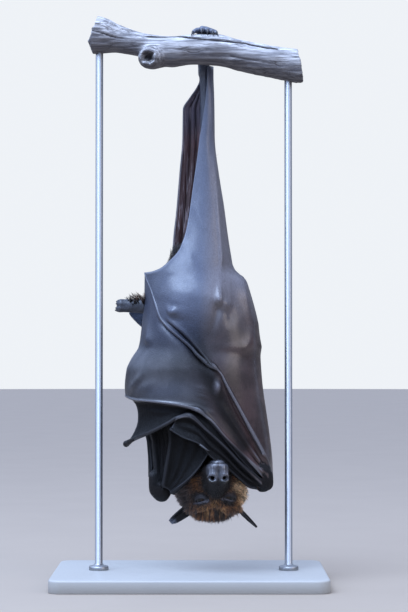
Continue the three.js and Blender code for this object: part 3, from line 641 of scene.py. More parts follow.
# The relief of the right wing. A bump is its place, height and half widths. A fold is a line of
# [x, z, height], its width and, where one flank is steeper, by how much.
ARM_BUMPS = (
    ((8, 222), -4.5, 32, 20), ((-14.8, 249.6), 4.0, 2.6, 2.8), ((-9, 249), 1.2, 7, 6),
    ((32.2, 255.4), 2.6, 4.2, 3.4),
)
ARM_FOLDS = (
    ([(20, 470, 0), (18, 400, 3.5), (22, 350, 5), (26, 300, 4), (27, 285, 1)], 12),
    ([(19, 460, 0.2), (18.5, 400, 0.7), (21.5, 350, 0.9), (25.5, 300, 1.2), (27, 282, 0.8)], 1.5, 1.6),
    ([(30.6, 288, 0), (31, 270, 0.8), (33, 255, 0.3)], 1.3),
    ([(34.4, 292, 0), (35, 272, 0.8), (37.4, 252, 0)], 1.3),
    ([(27, 290, 0), (26.6, 276, 1.6), (25.8, 265, 3.8), (25.1, 258.5, 6.2)], 1.9, 1.7),
    ([(26, 253.8, -3.2), (24.6, 247, -2.6), (22, 236, -1.2), (18, 224, 0)], 2.2),
    ([(-19.4, 257, 0), (-19.2, 251, 1.8), (-17, 244.5, 0.4)], 0.9),
    ([(-18, 243.5, -0.5), (-12, 242.5, -1.4), (-4, 241.5, -0.8), (3, 242, 0)], 2.4),
    ([(-22, 262, 0), (-12, 259, 0.8), (2, 258, 0)], 4),
    ([(36, 251, -1), (38, 245, -1.5), (36, 234, 0)], 4),
    ([(40, 292, 0), (44, 276, 4), (50, 258, 4), (56.5, 238, 3.6), (55, 224, 2.6), (46, 209, 0)], 8, 2),
    ([(44, 285, 0), (46, 276, 1.6), (48, 262, 1), (53, 250, 0)], 1.6),
    ([(-22, 245, 0), (-17, 240, 1.4), (-4, 229.5, 2), (9, 214.5, 1.8), (20, 201.5, 1.3), (26, 196, 0)], 1),
    ([(-21, 240.5, -0.6), (-8, 228.5, -2.8), (5, 216, -2.8), (19, 201.5, -0.8)], 1.2),
    ([(28, 300, 0), (12, 330, 1), (2, 352, 0)], 3),
    ([(-8, 316, 0), (0, 300, 0.9), (12, 280, 0)], 3),
)
KNEE_BUMP = (26, 259)  # where the covered knee presses out the skin
HAND_BUMPS = (((-36, 224), 1.0, 8, 9), ((25.4, 180.5), 4.2, 2.5, 5.4))
HAND_FOLDS = (
    ([(-30, 243, 0), (-24, 237, -3.4), (-12, 226.5, -4), (0, 215, -4), (12, 203.5, -3.2), (21, 196, -1)],
     1.9),
    ([(29.5, 188, -0.6), (39.6, 166.8, -2.4), (46, 154.5, -2.6), (54.6, 140, -2.4), (66, 118, -1)], 1.5),
    ([(-38.5, 246, 0), (-38.2, 234, 1.2), (-37.9, 224, 3), (-38, 218, 0)], 2.2),
    ([(-57.5, 173.5, 0.4), (-52, 182, 1.8), (-46, 190, 1.2), (-40, 197, 0)], 2.2),
    ([(-50, 172, 0), (-42, 180, 1), (-30, 187, 0)], 3),
    ([(21, 193, 0.4), (24.5, 182, 1)], 1.6),
    *[([(3 + row, top + 0.8, 0), (11, top, 0.7), (20, top - 2.4, 0)], 0.9)
      for row, top in enumerate((180, 176.8, 173.4))],
    *[([(7, 160.5, 0.8), (7 + reach / 2, 160.5 + drop * 0.4, 1), (7 + reach, 160.5 + drop, 0)], 0.9)
      for reach, drop in ((17, -3), (16, -9), (13, -15))],
)
LOWER_FOLDS = (
    ([(-52, 128.5, 0), (-36, 136.4, 1.3), (-24.4, 141.6, 1.6), (-14.3, 147, 1.4), (-9, 150.6, 0)], 1.1),
    ([(-50, 160, 0), (-30, 158, 0.9), (-12, 158, 0)], 2),
)


def relief(x, z, bumps, folds):
    """How far skin stands out at places [x, z], from the bumps and folds in it."""
    return sum(swell(x, z, *row) for row in bumps) + sum(fold(x, z, *row) for row in folds)


def arm_relief(x, z, turn):
    """How far the upper right wing stands out over its cloak. It fades out behind the body."""
    knee = np.where(z > KNEE_BUMP[1], swell(x, z, KNEE_BUMP, 1.4, 8, 28), swell(x, z, KNEE_BUMP, 1.4, 8, 5))
    return (knee + relief(x, z, ARM_BUMPS, ARM_FOLDS)) * (1 - smooth_step(80, 125, np.abs(turn)))


class Bone:
    """A finger: its points in a sheet, and its thickness from tip to wrist."""

    def __init__(self, points, radii):
        self.points = points
        self.radius = table([(i / (len(radii) - 1), r) for i, r in enumerate(radii)])


def skin_over(points, bones):
    """Half the thickness of a sheet at each point, where skin is drawn tight over the bones in it."""
    half = np.full(len(points), MEMBRANE / 2)
    for bone in bones:
        far, share = to_line(points, bone.points)
        radius = bone.radius(share)[:, 0]
        over = np.sqrt(np.maximum(radius**2 - far**2, 0))
        skirt = radius * 0.6 * np.exp(-((far / (radius * 1.1)) ** 2))
        half = np.maximum(half, MEMBRANE / 2 + np.maximum(over * 0.75, skirt))
    return half


def pleats(u, v, count, depth, start, end):
    """Small pleats that run along u, in skin gathered between two fingers."""
    waves = depth * np.sin(np.pi * count * v)[:, None]
    return waves * smooth_step(start, end, u)[None] * np.sin(np.pi * v)[:, None]


def crossing(top, foot, v, k):
    """The straight line, at shares v, between entry k of two edges."""
    return np.outer(1 - v, top[k]) + np.outer(v, foot[k])


def arm_strip():
    """The wing above its fifth finger (angles, heights), how far it stands out, and the finger's line."""
    hand = np.linspace(0, 1, HAND_COLUMNS)
    whole_foot = spline(np.vstack([front_route(over_cloak, FIFTH), ROUND_WRIST]))
    fifth_share = (len(FIFTH) - 1) / (len(FIFTH) + len(ROUND_WRIST) - 1)
    u = np.concatenate([hand * fifth_share, np.linspace(fifth_share, 1, WRIST_COLUMNS + 1)[1:]])
    v = finer_at_ends(ARM_ROWS, 0, 3)
    top = spline(np.vstack([front_route(over_cloak, TRAILING[:1]), ROUND_TOP]))(u)
    free_edge = spline(front_route(over_cloak, TRAILING))(v)
    grid = coons(top, whole_foot(u), free_edge, spline(BACK_EDGE)(v), u, v)
    flat = wrapped(over_cloak, grid)
    lift = arm_relief(flat[..., 0].ravel(), flat[..., 2].ravel(), grid[..., 0].ravel())
    return grid, lift.reshape(grid.shape[:2]), whole_foot(hand * fifth_share)


def hand_strip(top, foot, v, free):
    """The skin between two fingers, as angles and heights. Its free edge is straight, or follows [x, z]."""
    near = spline(front_route(over_cloak, free))(v) if free else crossing(top, foot, v, 0)
    return coons(top, foot, near, crossing(top, foot, v, -1), np.linspace(0, 1, len(top)), v)


def sunk_between(v, near_top, near_foot):
    """A hollow between two fingers, nearly level in its middle."""
    return ((1 - np.exp(-v / near_top)) * (1 - np.exp((v - 1) / near_foot)))[:, None]


def finger_line(finger, count):
    """A finger of the right wing, from tip to wrist, as angles and heights."""
    return spline(front_route(over_cloak, finger))(np.linspace(0, 1, count))


def upper_dip(edge):
    """Shares down the upper strip, and how far it is raised. It starts as high as the arm's edge."""
    hand, v = np.linspace(0, 1, HAND_COLUMNS), finer_at_ends(42, 2.5, 2)
    dip = -1.5 * np.sin(np.pi * v)[:, None] + edge * np.exp(-v / 0.12)[:, None]
    return v, dip + pleats(hand, v, 5, 0.8, 0.6, 0.9)


def lower_dip():
    """The same for the middle strip, which sinks deep between its fingers."""
    hand, v = np.linspace(0, 1, HAND_COLUMNS), finer_at_ends(36, 1.5, 1.5)
    dip = -7.5 * sunk_between(v, 0.1, 0.16) * (1 - 0.62 * smooth_step(0.38, 0.62, hand))
    return v, dip + pleats(hand, v, 7, 1.0, 0.42, 0.56)


def hem_dip(columns):
    """The same for the lowest strip."""
    u, v = np.linspace(0, 1, columns), finer_at_ends(20, 1, 1)
    return v, -2 * np.sin(np.pi * v)[:, None] + pleats(u, v, 5, 0.9, 0.0, 0.3)


def strip_relief(grid, bumps, folds):
    """The bumps and folds of a strip, which fade out at the fingers on both its sides."""
    at = wrapped(over_cloak, grid)
    v = np.linspace(0, 1, len(grid))
    inside = smooth_step(0, 0.04, v) * (1 - smooth_step(0.96, 1, v))
    own = relief(at[..., 0].ravel(), at[..., 2].ravel(), bumps, folds)
    return own.reshape(grid.shape[:2]) * inside[:, None]


def right_wing():
    """The wing over the arm, and below it three strips of skin between the fingers."""
    arm, arm_lift, fifth = arm_strip()
    fourth, third = (finger_line(finger, HAND_COLUMNS) for finger in (FOURTH, THIRD))
    begin = round(THIRD_INNER * (HAND_COLUMNS - 1))
    second = finger_line(SECOND, HAND_COLUMNS - begin)
    edge = arm_lift[-1, :HAND_COLUMNS]
    placed = wrapped(over_cloak, arm, arm_lift)
    sheet = Sheet()
    sheet.block(placed)
    shared = placed[-1, :HAND_COLUMNS]
    strips = (
        (fifth, fourth, UPPER_FREE, upper_dip(edge), HAND_BUMPS, HAND_FOLDS),
        (fourth, third, FOLD_FREE, lower_dip(), (), LOWER_FOLDS),
        (third[begin:], second, None, hem_dip(len(second)), (), ()),
    )
    for top, foot, free, (v, dip), bumps, folds in strips:
        grid = hand_strip(top, foot, v, free)
        if folds:
            dip = dip + strip_relief(grid, bumps, folds)
        placed = wrapped(over_cloak, grid, dip)
        sheet.block(placed, shared[-len(placed[0]):])
        shared = placed[-1]
    fingers = ((fifth, edge), (fourth, 0), (third, 0), (second, 0))
    lines = [wrapped(over_cloak, line, lift) for line, lift in fingers]
    bones = [Bone(line, radii) for line, radii in zip(lines, RIGHT_FINGER_RADII)]
    points, faces = sheet.welded()
    return thickened(points, faces, skin_over(points, bones))


# ---- left wing

# The fingers from tip to wrist and the edges of the arm's skin, as angles round the cloak and heights.
LEFT_FIFTH = [(-88, 232), (-90, 205), (-82, 170), (-76, 130), (-68, 96)]
LEFT_FOURTH = [(-66, 228), (-62, 196), (-62, 170), (-60, 130), (-58, 92)]
LEFT_THIRD = [(-24, 196), (-26, 170), (-32, 140), (-40, 112), (-48, 88)]
LEFT_SECOND = [(14, 150), (12, 132), (-1, 112), (-17, 96), (-34, 84)]
LEFT_CORNER = (-88, 250)
LEFT_TOP = [LEFT_CORNER, (-108, 256), (-146, 276)]
LEFT_FOOT = [(-68, 96), (-96, 100), (-146, 128)]
LEFT_BACK = [(-146, 276), (-148, 200), (-146, 128)]
LEFT_FINGER_RADII = (
    (1.0, 1.6, 2.2, 2.0, 2.2, 3.0), (1.2, 1.5, 2.2, 2.0, 2.2, 3.0), (1.4, 2.0, 2.6, 2.2, 2.4, 3.0),
    (1.2, 1.6, 2.0, 2.4, 2.8),
)
LEFT_DIPS = (2.0, 4.0, 3.0)  # how deep the skin sinks between each two fingers
LEFT_COLUMNS = 64


def left_arm_strip(fifth):
    """The skin between the left fifth finger and the arm. The free leg's heel holds its corner out."""
    above = np.linspace(0, 1, 9)[:-1, None] * (np.array(LEFT_FIFTH[0]) - LEFT_CORNER) + LEFT_CORNER
    near = np.vstack([above, fifth])
    v = np.linspace(0, 1, len(near))
    u = finer_at_ends(26, 2, 0)
    grid = coons(spline(LEFT_TOP)(u), spline(LEFT_FOOT)(u), near, spline(LEFT_BACK)(v), u, v)
    held = 14 * np.exp(-(((grid[..., 0] + 88) / 22) ** 2) - ((grid[..., 1] - 251) / 12) ** 2)
    held *= smooth_step(232, 240, grid[..., 1])
    return wrapped(UNDER_CLOAK, grid, held)


def left_wing():
    along = np.linspace(0, 1, LEFT_COLUMNS)
    routes = [spline(line)(along) for line in (LEFT_FIFTH, LEFT_FOURTH, LEFT_THIRD, LEFT_SECOND)]
    sheet = Sheet()
    edges = [None]
    v = finer_at_ends(24, 1, 1)
    for top, foot, dip in zip(routes, routes[1:], LEFT_DIPS):
        grid = coons(top, foot, crossing(top, foot, v, 0), crossing(top, foot, v, -1), along, v)
        sunk = -dip * np.sin(np.pi * v)[:, None] + pleats(along, v, 7, 0.9, 0.1, 0.5)
        placed = wrapped(UNDER_CLOAK, grid, sunk)
        sheet.block(placed, edges[-1])
        edges += [placed[0], placed[-1]]
    arm = left_arm_strip(routes[0])
    arm[-LEFT_COLUMNS:, 0] = edges[1]
    sheet.block(arm)
    points, faces = sheet.welded()
    lines = [wrapped(UNDER_CLOAK, line) for line in routes]
    bones = [Bone(line, radii) for line, radii in zip(lines, LEFT_FINGER_RADII)]
    return thickened(points, faces, skin_over(points, bones))


# ---- legs, feet and arms

# Joints as [x, y, z]. Stations of limbs also have a radius.
HIP = {"right": (9, 15, 306), "left": (-6, 13, 300)}
KNEE = {"right": (17, 23, 388), "left": (29, -25, 254)}
ANKLE = {"right": (12.5, 20.5, 476), "left": (-43, -3, 255)}
SHOULDER = {"right": (44, 8, 150), "left": (-20, 10, 152)}
ELBOW = {"right": (45.5, 17, 279), "left": (-33, 21, 262)}
WRIST = {"right": (68, -19, 94), "left": (-27, -17, 88)}
THUMB = {
    "right": [(64, -14, 92), (60, 0, 96), (56, 12, 106), (53, 17, 116)],
    "left": [(-26, -12, 86), (-23, 2, 92), (-21, 13, 102), (-20, 18, 112)],
}
WRIST_BONES = {
    "right": [(62, -25, 109, 5), (70, -20, 101, 7.6), (70, -17, 93, 8.4), (66, -16.5, 92, 8.2)],
    "left": [(-33, -21, 99, 6.2), (-30.5, -18, 88, 8.8), (-25.8, -17, 84, 9), (-21.5, -16, 89, 8)],
}
TOES = 5
TOE_X = (3.0, 11.4, 16.2, 20.6, 24.4)  # where each toe of the holding foot ends on the wood
TOE_DROP = (3.0, 0.4, 0.9, 2.2, 3.4)  # how much lower each of them ends than a toe that stays level
FREE_TOE_TIP = (-68.0, -67.6, -66.6, -67.2, -67.0)  # how far out each toe of the free foot reaches
WOOD_MIDDLE = (0.0, 493.3)  # depth and height of the wood's middle where the foot holds it
MIDDLE_TOE = 2
TOE_ROOT_X = 13
TOE_OVER_WOOD = (  # angle round the wood, distance from its middle, share of the spread, radius
    (28, 19.4, 0.2, 2.7), (42, 19.8, 0.3, 2.5), (55, 20.1, 0.42, 2.8), (68, 20, 0.52, 2.4),
    (80, 20.1, 0.64, 2.6), (92, 19.8, 0.8, 2.1), (103, 19.6, 0.93, 2.2), (112, 18.8, 1, 1.8),
)


def limb(start, end, radii):
    """A straight limb as a chain of stations from start to end."""
    share = np.linspace(0, 1, len(radii))[:, None]
    line = (1 - share) * np.array(start, float) + share * np.array(end, float)
    return [(*point, radius) for point, radius in zip(line, radii)]


def round_wood(degrees, radius):
    """Depth and height of a place around the wood, from straight behind it (0) over its top (90)."""
    turn = math.radians(degrees)
    return WOOD_MIDDLE[0] + radius * math.cos(turn), WOOD_MIDDLE[1] + radius * math.sin(turn)


def holding_toe(n):
    """One toe of the holding foot: up behind the wood, over the top and down its front, spread sideways."""
    off = n - MIDDLE_TOE
    stations = [(12.6 + off * 0.6, 20.8, 474, 3.6), (12.9 + off * 1.3, 21, 484, 3.1)]
    stations.append((TOE_ROOT_X + off * 1.5, 20.1, 494, 2.8))
    thin = 1 - 0.06 * TOE_DROP[n]
    for turn, reach, share, size in TOE_OVER_WOOD:
        x = TOE_ROOT_X + (TOE_X[n] - TOE_ROOT_X) * share
        stations.append((x, *round_wood(turn, reach - TOE_DROP[n] * share), size * thin))
    return stations


KNUCKLES = [(x, *round_wood(turn, reach), size) for x, turn, reach, size in (
    (23.6, 100, 16.0, 1.5), (18.5, 101, 17.6, 1.8), (13.5, 100, 18.8, 1.9), (11, 88, 19.9, 2.3),
    (15.5, 84, 19.4, 2.2), (20.5, 84, 17.8, 1.9), (24, 84, 16.4, 1.5), (15.5, 84, 19.4, 2.2),
    (6.6, 84, 18.8, 2.1), (3.4, 84, 17.0, 1.7))]
FREE_PALM = [(-46, -3.2, 255.2, 4.6), (-56, -3.0, 255.6, 4.2), (-63, -2.6, 255.7, 3.2)]


def free_toe_place(n):
    """Depth and height of one toe of the free foot."""
    return -3.8 + 0.7 * (-1) ** n, 255.6 + (n - MIDDLE_TOE) * 2.0


def free_toe(n):
    off = n - MIDDLE_TOE
    y, z = free_toe_place(n)
    tip = FREE_TOE_TIP[n]
    root = [(-43, -3, 255 + off * 1.2, 4.4), (-49, -3.4, 255.2 + off * 1.6, 3.0), (-55, y, z, 2.2)]
    end = [(tip + 7, y, z, 2.0), (tip + 3.4, y, z, 2.2), (tip + 1.4, y + 1.6, z, 1.8)]
    return [*root, *end, (tip + 0.6, y + 4, z, 1.4)]


def near_leg(toes, shank, palm):
    """The field of a shank with its foot, whose toes and palm melt together."""
    def field(p):
        found = melt(near_chain(p, shank), near_chain(p, palm), 1.5)
        for n in range(TOES):
            found = melt(found, near_chain(p, toes(n)), 1.5)
        return found
    return field


def near_arm(side):
    """The field of a forearm with its wrist and thumb."""
    forearm = limb(ELBOW[side], WRIST[side], (6, 6.2, 5.2, 4.4, 4.8))
    thumb = [(*point, radius) for point, radius in zip(THUMB[side], (4, 3.2, 2.6, 2.0))]

    def field(p):
        found = melt(near_chain(p, forearm), near_chain(p, WRIST_BONES[side]), 3)
        return melt(found, near_chain(p, thumb), 2.5)
    return field


def near_finger_tip(p):
    """The blunt end joint of the third finger, at the free corner of the right wing."""
    turn = np.degrees(np.arcsin(-0.975))
    tip, before = wrapped(over_cloak, [(turn, 128.6), (turn + 16, 133.2)])
    return near_chain(p, [(*tip, 3.0), (*before, 1.6)])


LEG_SKIN_TOP, LEG_SKIN_FOOT = 468, 299
LEG_SKIN_EDGE = table([  # height, then sideways place and depth of the free edge
    (LEG_SKIN_TOP, 9.3, 20.5), (461, 6.5, 21), (452, 0.2, 22), (441, -6.6, 24), (412, -7.2, 25),
    (383, -9.7, 25), (348, -12.6, 23), (308, -16.1, 18), (LEG_SKIN_FOOT, -15.4, 16),
])
SPUR = [(9.3, 20, 449), (3, 21, 447), (-2, 22.5, 444.4), (-6.4, 24, 440.5)]
SPUR_RADII = (2.2, 1.6, 1.2, 0.8)


def leg_skin():
    """The narrow skin along the inner side of the holding leg, from the heel spur to the rump."""
    z = np.linspace(LEG_SKIN_TOP, LEG_SKIN_FOOT, 72)
    t = np.linspace(0, 1, 22)
    outer = LEG_SKIN_EDGE(z)
    ankle, knee, hip = (np.array(joint["right"], float) for joint in (ANKLE, KNEE, HIP))
    low = np.clip((ankle[2] - z) / (ankle[2] - knee[2]), 0, 1)[:, None]
    high = np.clip((knee[2] - z) / (knee[2] - hip[2]), 0, 1)[:, None]
    inner = ankle + (knee - ankle) * low + (hip - knee) * high
    grid = np.empty((len(z), len(t), 3))
    grid[..., 0] = outer[:, :1] + (inner[:, :1] - outer[:, :1]) * t
    grid[..., 1] = outer[:, 1:] + (inner[:, 1:2] - outer[:, 1:]) * t + 4 * np.sin(np.pi * t)
    grid[..., 1] += 0.9 * np.sin(4 * 2 * np.pi * t) * np.sin(np.pi * t) * smooth_step(470, 440, z)[:, None]
    grid[..., 2] = z[:, None]
    sheet = Sheet()
    sheet.block(grid)
    points, faces = sheet.welded()
    return thickened(points, faces, skin_over(points, [Bone(np.array(SPUR), SPUR_RADII)]))


# ---- trunk

COAT = 6.5  # depth of the coat on the body
TRUNK_SIZE = table([  # height, middle in x and y, half width and half depth
    (325, 7, 15, 7, 6), (312, 5, 14, 16, 14), (292, 1, 12, 27, 23), (262, 1.5, 10, 34, 29),
    (235, 4, 9, 40, 33), (205, 7, 9, 43, 35), (175, 10, 9, 44, 36), (150, 13, 9, 42, 35),
    (128, 15, 9, 39, 33), (112, 17, 9, 35, 31), (98, 18.5, 10, 32, 28),
])
THIGH_RADII = {"right": (5.4, 7, 9, 11), "left": (5.4, 7.5, 9, 11)}
UPPER_ARM_RADII = (7.5, 7, 5.6, 5.4)


def near_trunk(p, low, high, spare=0.0):
    """The trunk under its coat between two heights, thicker by spare."""
    x, y, wide, deep = TRUNK_SIZE(p[:, 2]).T
    wide, deep = np.maximum(wide - COAT, 3) + spare, np.maximum(deep - COAT, 3) + spare
    round_it = (np.hypot((p[:, 0] - x) / wide, (p[:, 1] - y) / deep) - 1) * np.minimum(wide, deep)
    return np.maximum(round_it, np.maximum(low - p[:, 2], p[:, 2] - high))


def near_torso(p):
    """The trunk with both thighs and both upper arms."""
    found = near_trunk(p, 106, 318, 0.6)
    limbs = [limb(KNEE[side], HIP[side], THIGH_RADII[side]) for side in ("right", "left")]
    limbs += [limb(SHOULDER[side], ELBOW[side], UPPER_ARM_RADII) for side in ("right", "left")]
    for stations in limbs:
        found = melt(found, near_chain(p, stations), 5)
    return found


# ---- head

HEAD_MIDDLE = 19.4
HEAD_YAW = 0.12  # sideways drift of the face for each millimetre forward
EYE = {"radius": 5.0, "spacing": 24.8, "y": -26.4, "z": 80.6, "roll": 0.08}
HEAD_SIZE = table([  # depth, height of the middle, half width and half height
    (38, 88, 9, 8), (34, 87, 18, 17), (24, 85.5, 29, 27), (10, 85, 33, 30.5), (-3, 85.2, 32.8, 31.3),
    (-13, 86.5, 30.2, 29), (-21, 89.5, 25.5, 23), (-28, 93, 18.5, 17.5), (-36, 99.5, 12.8, 14),
    (-45, 103.5, 10.9, 12.2), (-51, 104.5, 9.5, 10.8), (-55.5, 104.5, 6.4, 7.2), (-57, 104.5, 3.2, 3.4),
])
HEAD_COAT = table([  # depth and thickness of the coat
    (38, 4), (34, 5), (10, 6.5), (-3, 6.2), (-13, 4.6), (-21, 2.8), (-28, 1.4), (-36, 0.7), (-57, 0.4),
])
HEAD_SQUARE = 2.3  # roundness of the head's sections: 2 is an ellipse and more is squarer
# Forms that melt into the head: stations in its middle plane as depth, height and radius, and stations on
# both sides as sideways distance, depth, height and radius. A reach tells how softly each melts in.
MIDDLE_FORMS = (
    ([(-49, 110.4, 5.6), (-40, 110, 6.8), (-24, 103.5, 10), (-6, 99, 15)], 3),  # jaw
    ([(-50, 99, 6.2), (-40, 91.5, 6.2), (-30, 81.6, 6.6), (-20, 76, 8)], 4),  # bridge of the nose
)
SIDE_FORMS = (
    ([(3.6, -52, 108.5, 3.4), (6.0, -46, 108, 3.8), (8.2, -36, 106, 4.4), (14, -24, 98, 7)], 3),  # lips
    ([(4.4, -53.2, 104, 4.0), (4.4, -48, 103, 5.2)], 2),  # pads of the whiskers
    ([(15, -20, 84, 6.4), (18.5, -8, 84, 7.6)], 6),  # cheeks
    ([(6, -31, 75.6, 3.6), (12, -26, 72.4, 4.0), (19, -17, 73, 4.4)], 4),  # brows
)
NOSTRIL_RIM = [
    (3.2, -57.2, 97.8, 1.1), (5.6, -57, 96.8, 1.3), (7.9, -55.4, 98.2, 1.3), (8.8, -53.8, 100.8, 1.2),
    (7.4, -54.8, 103.4, 1.1), (4.8, -56.8, 103.8, 0.9),
]
NOSTRIL_PIT = [(4.2, -58, 100.8, 1.4), (5.8, -57.2, 100, 2.0), (8.5, -54.4, 100.8, 1.0)]
NOSTRIL_DEPTH = [(5.7, -57.5, 100.2, 1.7), (4.6, -50, 100.6, 1.3)]
MOUTH = [
    (0, -54.6, 113.4, 0), (5, -52.4, 113.8, 0), (9.2, -45, 112.6, 0), (11.6, -36, 109, 0),
    (14.4, -27, 103, 0),
]
LIP_CREASES = (-7.0, -4.7, -2.5, 2.5, 4.7, 7.0)


def head_x(y):
    """The head's middle at a depth."""
    return HEAD_MIDDLE - HEAD_YAW * y


def eye_middle(side):
    aside = side * EYE["spacing"] / 2
    return np.array([head_x(EYE["y"]) + 0.6 + aside, EYE["y"], EYE["z"] + aside * EYE["roll"]])


def eye_axes(side):
    """Along the slit of the lids, across it and out of the face."""
    out = np.array([0.42 * side, -0.86, -0.28])
    out /= np.linalg.norm(out)
    along = np.array([-side, -0.3, 0.3])
    along -= out * (along @ out)
    along /= np.linalg.norm(along)
    return np.stack([along, np.cross(out, along), out])


def mirrored(points):
    """The stations of one side of the face, made for both sides."""
    return [[(head_x(y) + side * x, y, z, r) for x, y, z, r in points] for side in (-1, 1)]


def near_head(p):
    y = p[:, 1]
    height, wide, high = HEAD_SIZE(y).T
    coat = HEAD_COAT(y)[:, 0]
    wide, high = np.maximum(wide - coat, 2), np.maximum(high - coat, 2)
    aside, above = np.abs((p[:, 0] - head_x(y)) / wide), np.abs((p[:, 2] - height) / high)
    off = (aside**HEAD_SQUARE + above**HEAD_SQUARE) ** (1 / HEAD_SQUARE) - 1
    found = off * np.minimum(wide, high) * 0.85
    found = np.maximum(found, np.maximum(y - 35, -56 - y))
    found = melt(found, near_trunk(p, 82, 116), 6)
    for form, reach in MIDDLE_FORMS:
        found = melt(found, near_chain(p, [(head_x(a), a, z, r) for a, z, r in form]), reach)
    for form, reach in SIDE_FORMS:
        for stations in mirrored(form):
            found = melt(found, near_chain(p, stations), reach)
    for side in (-1, 1):
        far = lengths(p - eye_middle(side))
        found = melt(found, far - (EYE["radius"] + 0.4), 4.6)
        found = add_nostril(p, found, side)
    return found


def add_nostril(p, found, side):
    rim, pit, deep = (mirrored(form)[side > 0] for form in (NOSTRIL_RIM, NOSTRIL_PIT, NOSTRIL_DEPTH))
    found = melt(found, near_chain(p, rim), 1.2)
    return carve(carve(found, near_chain(p, pit), 0.9), near_chain(p, deep), 0.6)


def groove(points, inward, line, depth, width):
    """Presses points inward along a line of stations."""
    far, share = to_line(points, np.array(line, float)[:, :3])
    pressed = depth * np.exp(-((far / width) ** 2)) * smooth_step(0, 0.15, 1 - share)
    return points + inward * pressed[:, None]


def finished_head(points, faces):
    """Adds the fine lines of the face: lids, the cleft of the nose and the mouth."""
    inward = -point_normals(points, faces)
    for side in (-1, 1):
        points = shape_eyelids(points, inward, side)
    points = nose_creases(points, inward)
    for mouth in mirrored(MOUTH):
        points = groove(points, inward, mouth, 0.8, 0.9)
    return points, faces


def nose_creases(points, inward):
    """The cleft between the nostrils and the upright creases of the lips."""
    off = points[:, 0] - head_x(points[:, 1])
    front = smooth_step(-49, -53, points[:, 1])
    tall = smooth_step(92, 96, points[:, 2]) * (1 - smooth_step(109, 113, points[:, 2]))
    depth = 1.7 * np.exp(-((off / 0.95) ** 2)) * tall
    lips = smooth_step(102, 105, points[:, 2]) * (1 - smooth_step(109, 112.5, points[:, 2]))
    for n, aside in enumerate(LIP_CREASES):
        depth += (0.6 + 0.2 * (n % 2)) * np.exp(-(((off - aside) / 0.7) ** 2)) * lips
    return points + inward * (depth * front)[:, None]


def shape_eyelids(points, inward, side):
    """Wrinkles the skin around an eye, raises the rims of its lids and opens the gap between them."""
    local = (points - eye_middle(side)) @ eye_axes(side).T
    facing = smooth_step(0.5, 3, local[:, 2])
    ring = np.hypot(local[:, 0] * 0.8, local[:, 1])
    depth = np.zeros(len(points))
    for radius, sink in ((5.9, 0.7), (7.8, 0.5)):
        depth += sink * np.exp(-(((ring - radius) / 0.8) ** 2))
    slit = lid_gap(local, side)
    depth -= 0.35 * np.exp(-(((slit - 1.75) / 0.45) ** 2))
    opening = 2.6 * (1 - smooth_step(0.75, 1.25, slit))
    out = eye_axes(side)[2]
    return points + inward * (depth * facing)[:, None] - out * (opening * facing)[:, None]


def lid_gap(local, side):
    """Below 1 inside the gap between the lids and above 1 outside it."""
    towards_crown = local[:, 1] * side
    return np.hypot(local[:, 0] / 4.4, (towards_crown - 0.2 - 0.03 * local[:, 0] ** 2) / 1.1)


def lid_rim_highlight(p):
    """1 along the rims of the lids, most on the side of the crown, where painted light makes them pale."""
    pale = np.zeros(len(p))
    for side in (-1, 1):
        local = (p - eye_middle(side)) @ eye_axes(side).T
        crown = smooth_step(0.4, 1.6, local[:, 1] * side)
        rim = 0.75 * np.exp(-(((lid_gap(local, side) - 1.75) / 0.4) ** 2)) * crown
        pale = np.maximum(pale, rim * smooth_step(0.5, 3, local[:, 2]))
    return pale


EAR_LEAF = table([  # share from root to tip, half width and hollow
    (0, 5.6, 3.6), (0.25, 6.8, 3.2), (0.6, 6.0, 2.1), (0.88, 4.4, 1.0), (1, 2.8, 0.3),
])
EARS = {  # root, tip, the way the hollow faces, and its depth
    "right": ((41, 1, 70), (61.2, 4, 50.8), (0.75, 0.17, 0.65), 0.5),
    "left": ((-0.5, -2, 72), (-18.2, -4, 56.3), (0.62, -0.85, -0.5), 1.0),
}


def ear(root, tip, faces_to, depth):
    """An ear: a hollow leaf with a thickened rim, from its root in the fur to its tip."""
    root, along = np.array(root, float), np.array(tip, float) - np.array(root, float)
    face = np.array(faces_to, float)
    face -= along * (face @ along) / (along @ along)
    face /= np.linalg.norm(face)
    beside = np.cross(along / np.linalg.norm(along), face)
    t, s = np.linspace(0, 1, 28), np.linspace(-1, 1, 23)
    half, cup = EAR_LEAF(t).T
    ribs = 0.28 * np.sin(t * 26)[:, None] * np.exp(-(((s - 0.35) / 0.4) ** 2)) * (1 - t)[:, None]
    keel = 0.8 * np.exp(-((s / 0.12) ** 2)) * np.sin(np.pi * t)[:, None]
    curl = depth * (cup[:, None] + 0.6) * (np.abs(s) ** 2.2) + ribs - keel
    spread = beside * (half[:, None] * s)[..., None]
    grid = root + along * t[:, None, None] + spread + face * curl[..., None]
    sheet = Sheet()
    sheet.block(grid)
    points, faces = sheet.welded()
    share = (points - root) @ along / (along @ along)
    edge = np.abs(((points - root) @ beside) / np.interp(share, t, half))
    return thickened(points, faces, 0.45 + 0.3 * smooth_step(0.8, 1, edge))


# ---- the skin


def join_skin(parts):
    """Unites closed parts into one skin. Each part is a name with its points and faces."""
    made = [mesh_object(name, points, faces) for name, points, faces in parts]
    skin = made[0]
    for other in made[1:]:
        step = skin.modifiers.new("join", "BOOLEAN")
        step.operation = "UNION"
        step.solver = "MANIFOLD"
        step.object = other
        apply_modifiers(skin)
        bpy.data.objects.remove(other)
    skin.name = "bat_skin"
    return skin


def apply_modifiers(thing):
    graph = bpy.context.evaluated_depsgraph_get()
    settled = thing.evaluated_get(graph)
    mesh = bpy.data.meshes.new_from_object(settled, preserve_all_data_layers=True, depsgraph=graph)
    thing.modifiers.clear()
    thing.data = mesh


def closed(name, field, low, high, cell):
    return (name, *surface_of(field, low, high, cell))


def head_part():
    return ("head", *finished_head(*surface_of(near_head, (-22, -63, 50), (62, 44, 122), 0.98)))


